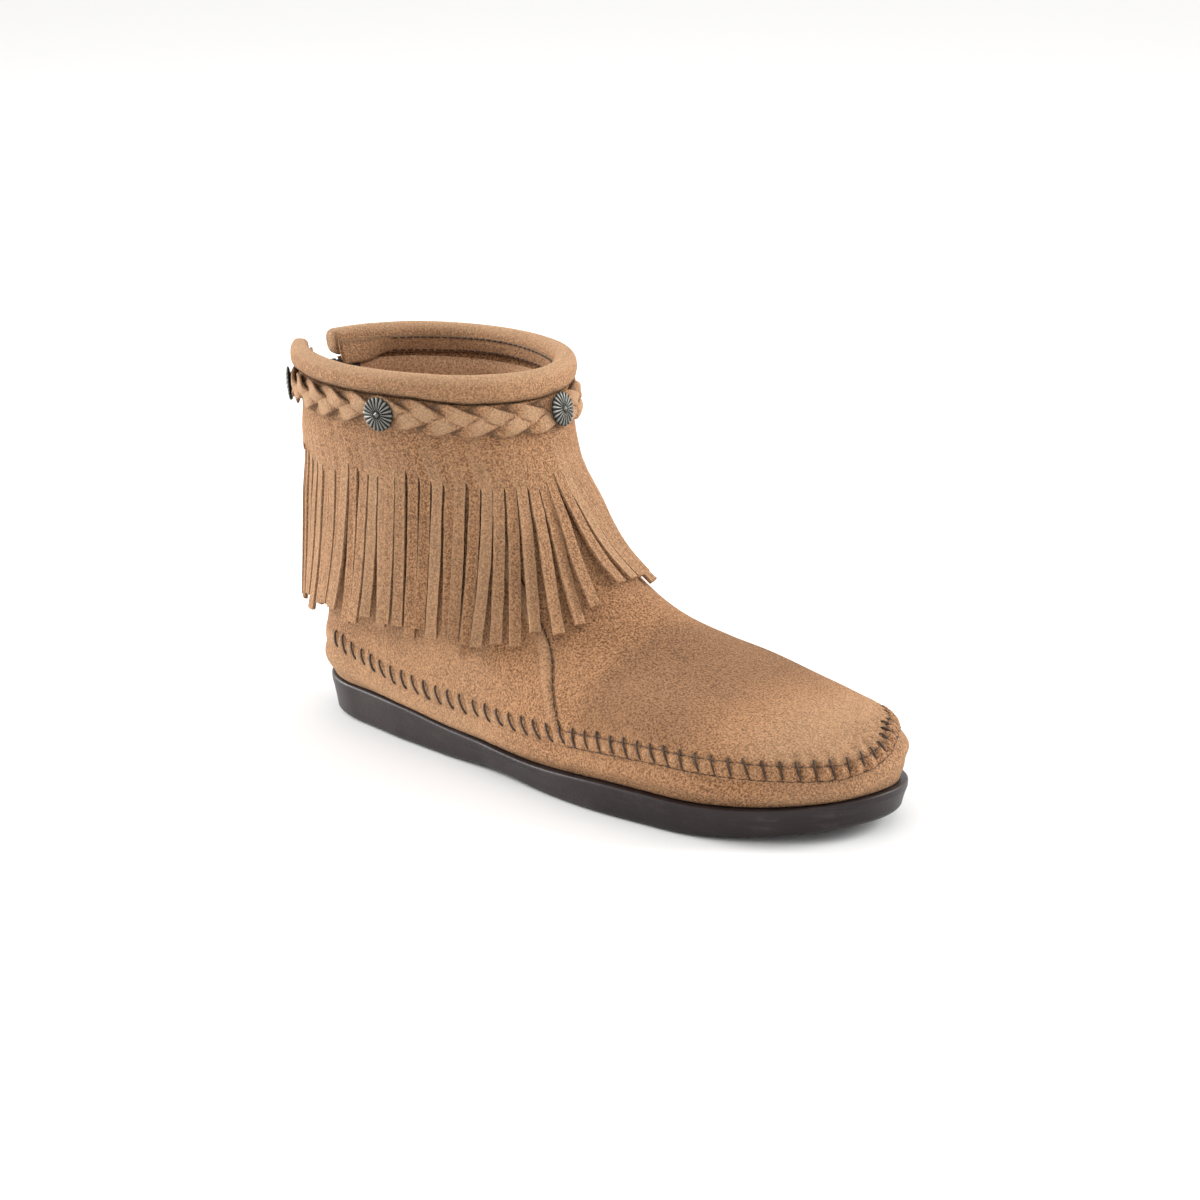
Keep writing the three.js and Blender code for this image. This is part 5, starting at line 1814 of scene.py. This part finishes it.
    def _yoke_rows(self, start: Array, cuts: Array) -> tuple[Array, Array]:
        """Inner points and thickness vectors of the yoke, from the cuts up."""
        form, shaft = self.shop.form, self.shop.shaft
        lanes = np.linspace(0, 1, self.across + 1)
        spare = (self.strip_face - form.strip_width) / 2
        distance = (start[:, None] - spare + lanes[None, :] * self.strip_face).ravel()
        cut = np.repeat(cuts, self.across + 1)
        turn = shaft.turn(distance)
        share = distance / shaft.girth
        pleat = 1.3 * bump_over((share - 0.062) / 0.03) - 0.15 * bump_over((share - 0.1) / 0.02)
        inner, lift = [], []
        for t in np.linspace(0, 1, 9):
            height = mix(form.wall_top - form.yoke_drop + cut, form.wall_top - form.fit_gap, t)
            swell = pleat * (1 - ease((t - 0.2) / 0.5))
            swell = swell + 0.25 * value_noise(distance / 11.0, 40) * (1 - t) ** 2
            seat = form.yoke_seat + np.maximum(0, swell + 0.1)
            seat = np.where(t > 0.55, form.yoke_seat, seat)
            low = form.shaft(turn, height, seat)
            row = form.shaft_row(turn, height)
            inner.append(low)
            lift.append(form.normal(turn, row) * mix(self.thick, form.fringe_thickness, t))
        return np.array(inner), np.array(lift)

    def _hang(self, turn: Array, length: Array, sway: Array, kick: Array, cuts: Array) -> tuple:
        """Lets every strip fall from the yoke and slide out over the foot.

        Args:
            turn: Each strip's turn.
            length: Each strip's length.
            sway: Sideways reach at each tip.
            kick: Outward reach at each tip.
            cuts: How much higher than the yoke's edge each cut ends.

        Returns:
            Points down the middle of the strips, and their outward and sideways directions.
        """
        form = self.shop.form
        point = form.shaft(turn, form.wall_top - form.yoke_drop + cuts, form.yoke_seat)
        flat = form.normal(turn, form.top_row)
        flat[:, 2] = 0
        flat = unit(flat)
        aside = np.stack([-flat[:, 1], flat[:, 0], np.zeros(len(turn))], -1)
        field = FootField(form)
        total = length + cuts
        gone = np.zeros(len(turn))
        path, gones = [point.copy()], [gone.copy()]
        for _ in range(self.FALL_STEPS):
            t = np.clip(gone / total, 0, 1)
            clear = mix(form.yoke_seat - 0.1, self.clearance, ease(gone / 24.0))[:, None]
            step = flat * 0.02 * self.DROP + aside * (sway * 2.0 * t / total * self.DROP)[:, None]
            step = step + flat * (kick * 3.0 * np.clip(t - 0.15, 0, 1) ** 2 / total * self.DROP)[:, None]
            step[:, 2] = -self.DROP
            after = point + step
            for _ in range(self.NUDGES):
                blocked = np.zeros(len(turn), bool)
                for lane in (-0.5, 0.5):
                    edge = after + aside * lane * form.strip_width
                    blocked |= ~field.is_outside(edge - flat * clear)
                    blocked |= ~field.is_outside(edge - [0, 0, 1] * clear)
                if not blocked.any():
                    break
                after = after + flat * np.where(blocked, self.NUDGE, 0)[:, None]
            gone = gone + np.linalg.norm(after - point, axis=1)
            point = after
            path.append(point.copy())
            gones.append(gone.copy())
        path, gones = np.array(path), np.array(gones)
        wanted = np.linspace(0.02, 1, self.stations)[:, None] * total[None, :]
        centre = np.empty((self.stations, len(turn), 3))
        for i in range(len(turn)):
            for k in range(3):
                centre[:, i, k] = np.interp(wanted[:, i], gones[:, i], path[:, i, k])
        centre[:, :, 2] = self._smoothed(centre[:, :, 2])
        fall = unit(np.gradient(centre, axis=0))
        out = unit(np.cross(np.broadcast_to(aside[None], fall.shape), fall))
        out = out * np.sign((out * flat[None]).sum(-1, keepdims=True) + 1e-9)
        return centre, out, aside

    @staticmethod
    def _smoothed(values: Array) -> Array:
        """Softens a column of values, its two ends kept."""
        soft = values.copy()
        soft[1:-1] = 0.25 * values[:-2] + 0.5 * values[1:-1] + 0.25 * values[2:]
        return soft


@dataclass
class HeelTab:
    """The small suede tab over the seam at the back of the heel."""

    shop: Workshop
    width: float = 19.0
    thick: float = 1.5

    def make(self) -> list[bpy.types.Object]:
        """Builds the tab and its stitches.

        Returns:
            The pieces.
        """
        form = self.shop.form
        rows = np.concatenate([[0.6], np.linspace(0.66, 2.74, 22), [2.8]])
        steps = 26
        lanes = np.linspace(1, -1, steps + 1)
        up = (rows - rows[0]) / (rows[-1] - rows[0])
        corner = np.sqrt(np.clip(1 - (np.clip(np.abs(up - 0.5) - 0.36, 0, 0.14) / 0.14) ** 2, 0, 1))
        half = self.width / 2 * mix(0.8, 1.0, corner)
        aside = half[:, None] * lanes[None, :]
        row = np.broadcast_to(rows[:, None], aside.shape)
        turn = np.where(np.abs(aside) < 0.01, 0.0, form.turn_at_width(aside, row))
        plain, out = form.face(turn, row), form.normal(turn, row)
        edge = np.minimum(1, (1 - np.abs(lanes)[None, :]) * 6 + 0.45)
        ends = np.minimum(1, np.minimum(up, 1 - up) * 9 + 0.45)[:, None]
        thick = self.thick * np.minimum(edge, ends)
        low = low_at(form, row)
        inner = plain + out * low[..., None]
        outer = plain + out * (low + thick)[..., None]
        tab = new_piece("heel_tab_suede", *closed_wall(outer, inner, False))
        # Painted shade round the tab's border and over its inner face, and a painted highlight over its
        # middle
        border = np.maximum(np.abs(lanes)[None, :] * np.ones((len(rows), 1)), np.abs(2 * up - 1)[:, None])
        mask = np.clip((border - 0.86) / 0.14, 0, 1)
        painted_shade_and_tone = np.concatenate([0.45 * mask.ravel(), np.full(mask.size, 0.4)])
        mark(tab, painted_shade_and_tone, np.concatenate([0.3 * (1 - mask).ravel(), np.zeros(mask.size)]))
        crisp(tab)
        self.shop.dress(tab, "trim", "suede_tab", "heel_tab")
        runs = []
        for side in (-1, 1):
            r = np.linspace(0.85, 2.6, 9)
            ends = []
            for s in (-0.055, 0.055):
                t = form.turn_at_width(np.full(len(r), side * (self.width / 2 - 1.7)), r + s)
                lift = low_at(form, r + s) + self.thick + 0.02
                ends.append(form.face(t, r + s) + form.normal(t, r + s) * lift[:, None])
            runs.append(Run.between(*ends, form.normal(t, r)))
        size = (0.25, 0.3, 5)
        return [tab, self.shop.sew("heel_tab_stitches", Run.joined(runs), "suede_tab", size, "tan_thread")]


def low_at(form: BootForm, row: Array) -> Array:
    """How far the heel tab's inner face stands off the plain upper at a row."""
    return form.fit_gap + 0.9 * form.seam_rib * bump_over((row - form.seam_row) / form.rib_half_rows)


@dataclass
class Studs:
    """Fluted metal studs on the plait, each with a small raised diamond."""

    shop: Workshop
    diameter: float = 12.5
    thick: float = 2.4
    flutes: int = 20
    places: tuple = (0.08, 0.295, 0.511, 0.76)

    def make(self) -> list[bpy.types.Object]:
        """Builds the four studs.

        Returns:
            The pieces.
        """
        form, shaft = self.shop.form, self.shop.shaft
        made = []
        for i, share in enumerate(self.places):
            turn = shaft.turn(share * shaft.girth)
            row = form.shaft_row(turn, form.braid_mid)
            out = form.normal(turn, row)
            seat = form.fringe_out + 2 * form.fit_gap + form.braid_backing + form.braid_raise
            centre = form.face(turn, row) + out * seat
            made.append(self._stud(f"stud_{i + 1}", centre, out, f"concho_{i + 1}"))
        return made

    def _stud(self, name: str, centre: Array, out: Array, node: str) -> bpy.types.Object:
        """One stud, facing out."""
        side = unit(np.cross([0.0, 0.0, 1.0], out))
        up = np.cross(out, side)
        steps = self.flutes * 8
        angle = 2 * math.pi * np.arange(steps) / steps
        crest = np.abs(np.cos(angle * self.flutes / 2))
        reach = self.diameter / 2
        profile = [
            (0.0, 0.0, 0), (0.9, 0.0, 0), (1.0, 0.25, 0), (1.0, 0.75, 0.4), (0.97, 1.0, 0.7), (0.88, 1.2, 1),
            (0.75, 1.42, 1), (0.6, 1.6, 1), (0.45, 1.7, 1), (0.3, 1.72, 0.8), (0.24, 1.6, 0.1),
            (0.17, 1.6, 0), (0.13, 1.95, 0), (0.06, 2.1, 0),
        ]
        points, ridge = [], []
        for share, height, flute in profile:
            scallop = 1 - 0.06 * (1 - crest) * (share > 0.86)
            diamond = 1 / (np.abs(np.cos(angle)) + np.abs(np.sin(angle)))
            shape = mix(1.0, diamond * 1.25, 1.0 if share < 0.18 else 0.0)
            r = reach * share * scallop * shape
            z = height * self.thick / 2.4 - 0.5 * flute * (1 - crest) ** 0.9
            points.append(centre + np.outer(r * np.cos(angle), side) + np.outer(r * np.sin(angle), up)
                          + np.outer(z * np.ones(steps), out))
            bright_wear_and_highlight = 0.6 if share < 0.15 else 0.0
            ridge.append(np.clip(flute * (crest - 0.55) / 0.4 + bright_wear_and_highlight, 0, 1) + 0.05)
        rings = len(profile)
        top = centre + out * self.thick * 0.9
        points = np.concatenate([np.concatenate(points[1:]), [centre], [top]])
        faces = grid_faces(rings - 2, steps, True).tolist()
        hub, tip = (rings - 1) * steps, (rings - 1) * steps + 1
        last = (rings - 2) * steps
        faces += [[hub, (i + 1) % steps, i] for i in range(steps)]
        faces += [[tip, last + i, last + (i + 1) % steps] for i in range(steps)]
        piece = new_piece(name, points, faces)
        set_values(piece, "ridge", np.concatenate([np.concatenate(ridge[1:]), [0.1], [0.9]]))
        return self.shop.dress(piece, "metal", "dark_metal", node)


@dataclass
class Zip:
    """The coil, the slider, its pull and the plain tape."""

    shop: Workshop
    tooth_pitch: float = 1.45

    def make(self) -> list[bpy.types.Object]:
        """Builds the zip's pieces.

        Returns:
            The pieces.
        """
        chain = self._coil()
        slider = self._softened("zip_slider_cast", "zip_slider", Body.BOOT, 0.28)
        pull = self._softened("zip_pull_tab", "zip_pull", Body.PULL, 0.22)
        return [self._tape(), chain, slider, pull]

    def _tape(self) -> bpy.types.Object:
        """The woven tape behind the slot."""
        form = self.shop.form
        rows = np.linspace(form.slot_row + 0.02, form.top_row - 0.02, 40)[:, None]
        aside = np.linspace(11.5, -11.5, 15)[None, :] + 0 * rows
        row = rows + 0 * aside
        turn = np.where(np.abs(aside) < 0.01, 0.0, form.turn_at_width(aside, row))
        face, out = form.face(turn, row), form.normal(turn, row)
        high = -form.upper_wall - form.fit_gap
        piece = new_piece("zip_tape_cloth", *closed_wall(face + out * high, face + out * (high - 0.6), False))
        return self.shop.dress(piece, "tape", "zip_tape", "zip_tape")

    def _coil(self) -> bpy.types.Object:
        """Two rows of teeth that mesh down the middle of the tape."""
        form = self.shop.form
        length = 104.0
        steps = int(length / self.tooth_pitch)
        rows = np.linspace(form.slot_row + 0.14, form.top_row - 0.04, steps)
        runs = []
        lift = 0.75 - form.upper_wall
        for side in (-1, 1):
            row = rows + (0.5 * (rows[1] - rows[0]) if side > 0 else 0)
            row = np.minimum(row, form.top_row - 0.03)
            point = form.face(np.zeros(steps), row)
            out = form.normal(np.zeros(steps), row)
            centre = point + out * lift
            centre[:, 1] += side * 1.15
            runs.append(Run(centre, np.tile([0.0, 1.0, 0.0], (steps, 1)), out, np.full(steps, 3.1)))
        sizes = {"Width": 0.00095, "Height": 0.0014, "Taper": 0.62}
        piece = self.shop.spread("zip_coil", self.shop.bars, Run.joined(runs), "teeth", sizes)
        return self.shop.dress(piece, "teeth", "zip_teeth", "zip_chain")

    def _softened(self, name: str, node: str, body: Body, radius: float) -> bpy.types.Object:
        """A copy of a solid with its edges rounded."""
        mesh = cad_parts[node].data.copy()
        mesh.name = name
        shape = bmesh.new()
        shape.from_mesh(mesh)
        bmesh.ops.remove_doubles(shape, verts=shape.verts, dist=0.00001)
        flat = [e for e in shape.edges if e.is_manifold and e.calc_face_angle() < 0.02]
        bmesh.ops.dissolve_edges(shape, edges=flat, use_verts=True)
        sharp = [e for e in shape.edges if e.is_manifold and e.calc_face_angle() > 0.6]
        bmesh.ops.bevel(shape, geom=sharp, offset=radius * MM, segments=2, affect="EDGES", clamp_overlap=True)
        shape.to_mesh(mesh)
        shape.free()
        return self.shop.dress(linked(name, mesh), "zip_metal", "zip_metal", node, body)


# The studio


@dataclass
class Studio:
    """Pale floor, soft lights and the camera at the photograph's angle."""

    finishes: Finishes
    target: tuple = (0.098, 0.0, 0.060)
    back: tuple = (0.6319, -0.7269, 0.2689)
    distance: float = 1.3
    lens: float = 107.9
    film: float = 36.0
    shift: tuple = (-0.0035, -0.0005)
    sky: tuple = (1.0, 0.995, 0.985, 1.0)
    sky_strength: float = 1.1

    # Each soft box's name, place, width across and power
    SOFTBOXES = (("far_box", (0.95, 1.0, 0.7), 0.8, 18.0), ("left_box", (-1.3, -0.4, 0.5), 0.7, 24.0))

    def make(self) -> None:
        """Sets the studio up."""
        self._floor()
        self._lights()
        self._camera()

    def _floor(self) -> None:
        """A wide sheet of paper under the boot."""
        mesh = bpy.data.meshes.new("studio_floor")
        reach, z = 12.0, -0.0002
        corners = [(-reach, -reach, z), (reach, -reach, z), (reach, reach, z), (-reach, reach, z)]
        mesh.from_pydata(corners, [], [(0, 1, 2, 3)])
        mesh.materials.append(self.finishes["floor"])
        linked("studio_floor", mesh)

    def _softbox(self, name: str, place: tuple, size: float, power: float) -> None:
        """One area light facing the boot."""
        light = bpy.data.lights.new(name, "AREA")
        light.shape = "DISK"
        light.size = size
        light.energy = power
        lamp = linked(name, light)
        lamp.location = place
        aim = Vector(self.target) - Vector(place)
        lamp.rotation_euler = aim.to_track_quat("-Z", "Y").to_euler()

    def _lights(self) -> None:
        """An even tent with soft boxes behind the toe and on the left."""
        world = bpy.data.worlds.new("studio")
        world.use_nodes = True
        ground = world.node_tree.nodes["Background"]
        ground.inputs["Color"].default_value = self.sky
        ground.inputs["Strength"].default_value = self.sky_strength
        bpy.context.scene.world = world
        for box in self.SOFTBOXES:
            self._softbox(*box)

    def _camera(self) -> None:
        """The camera, solved from the sole's outline."""
        back = Vector(self.back).normalized()
        right = Vector((-back.y, back.x, 0.0)).normalized()
        up = back.cross(right)
        camera = bpy.data.cameras.new("photo_camera")
        camera.lens = self.lens
        camera.sensor_width = self.film
        camera.shift_x, camera.shift_y = self.shift
        eye = linked("photo_camera", camera)
        turn = Matrix((right, up, back)).transposed().to_4x4()
        eye.matrix_world = Matrix.Translation(Vector(self.target) + back * self.distance) @ turn
        bpy.context.scene.camera = eye


def main() -> None:
    """Builds every piece in order."""
    logging.basicConfig(level=logging.INFO, format="%(name)s: %(message)s")
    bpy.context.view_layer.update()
    form = BootForm()
    shop = Workshop(form, Shaft(form), Finishes(), StitchTree(), BarTree())
    bpy.context.scene.view_settings.view_transform = "Standard"
    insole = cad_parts["insole"]
    insole.data.materials.clear()
    insole.data.materials.append(shop.finishes["insole"])
    Outsole(shop).make()
    Upper(shop).make()
    CollarRoll(shop).make()
    Fringe(shop).make()
    Braid(shop).make()
    HeelTab(shop).make()
    Studs(shop).make()
    Zip(shop).make()
    Studio(shop.finishes).make()


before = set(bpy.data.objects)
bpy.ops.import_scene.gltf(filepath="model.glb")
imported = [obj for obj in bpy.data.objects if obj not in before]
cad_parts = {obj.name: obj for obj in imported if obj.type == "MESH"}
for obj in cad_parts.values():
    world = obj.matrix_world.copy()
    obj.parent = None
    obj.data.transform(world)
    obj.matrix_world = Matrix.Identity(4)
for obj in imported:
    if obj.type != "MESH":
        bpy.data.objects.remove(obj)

if __name__ == "__main__":
    main()
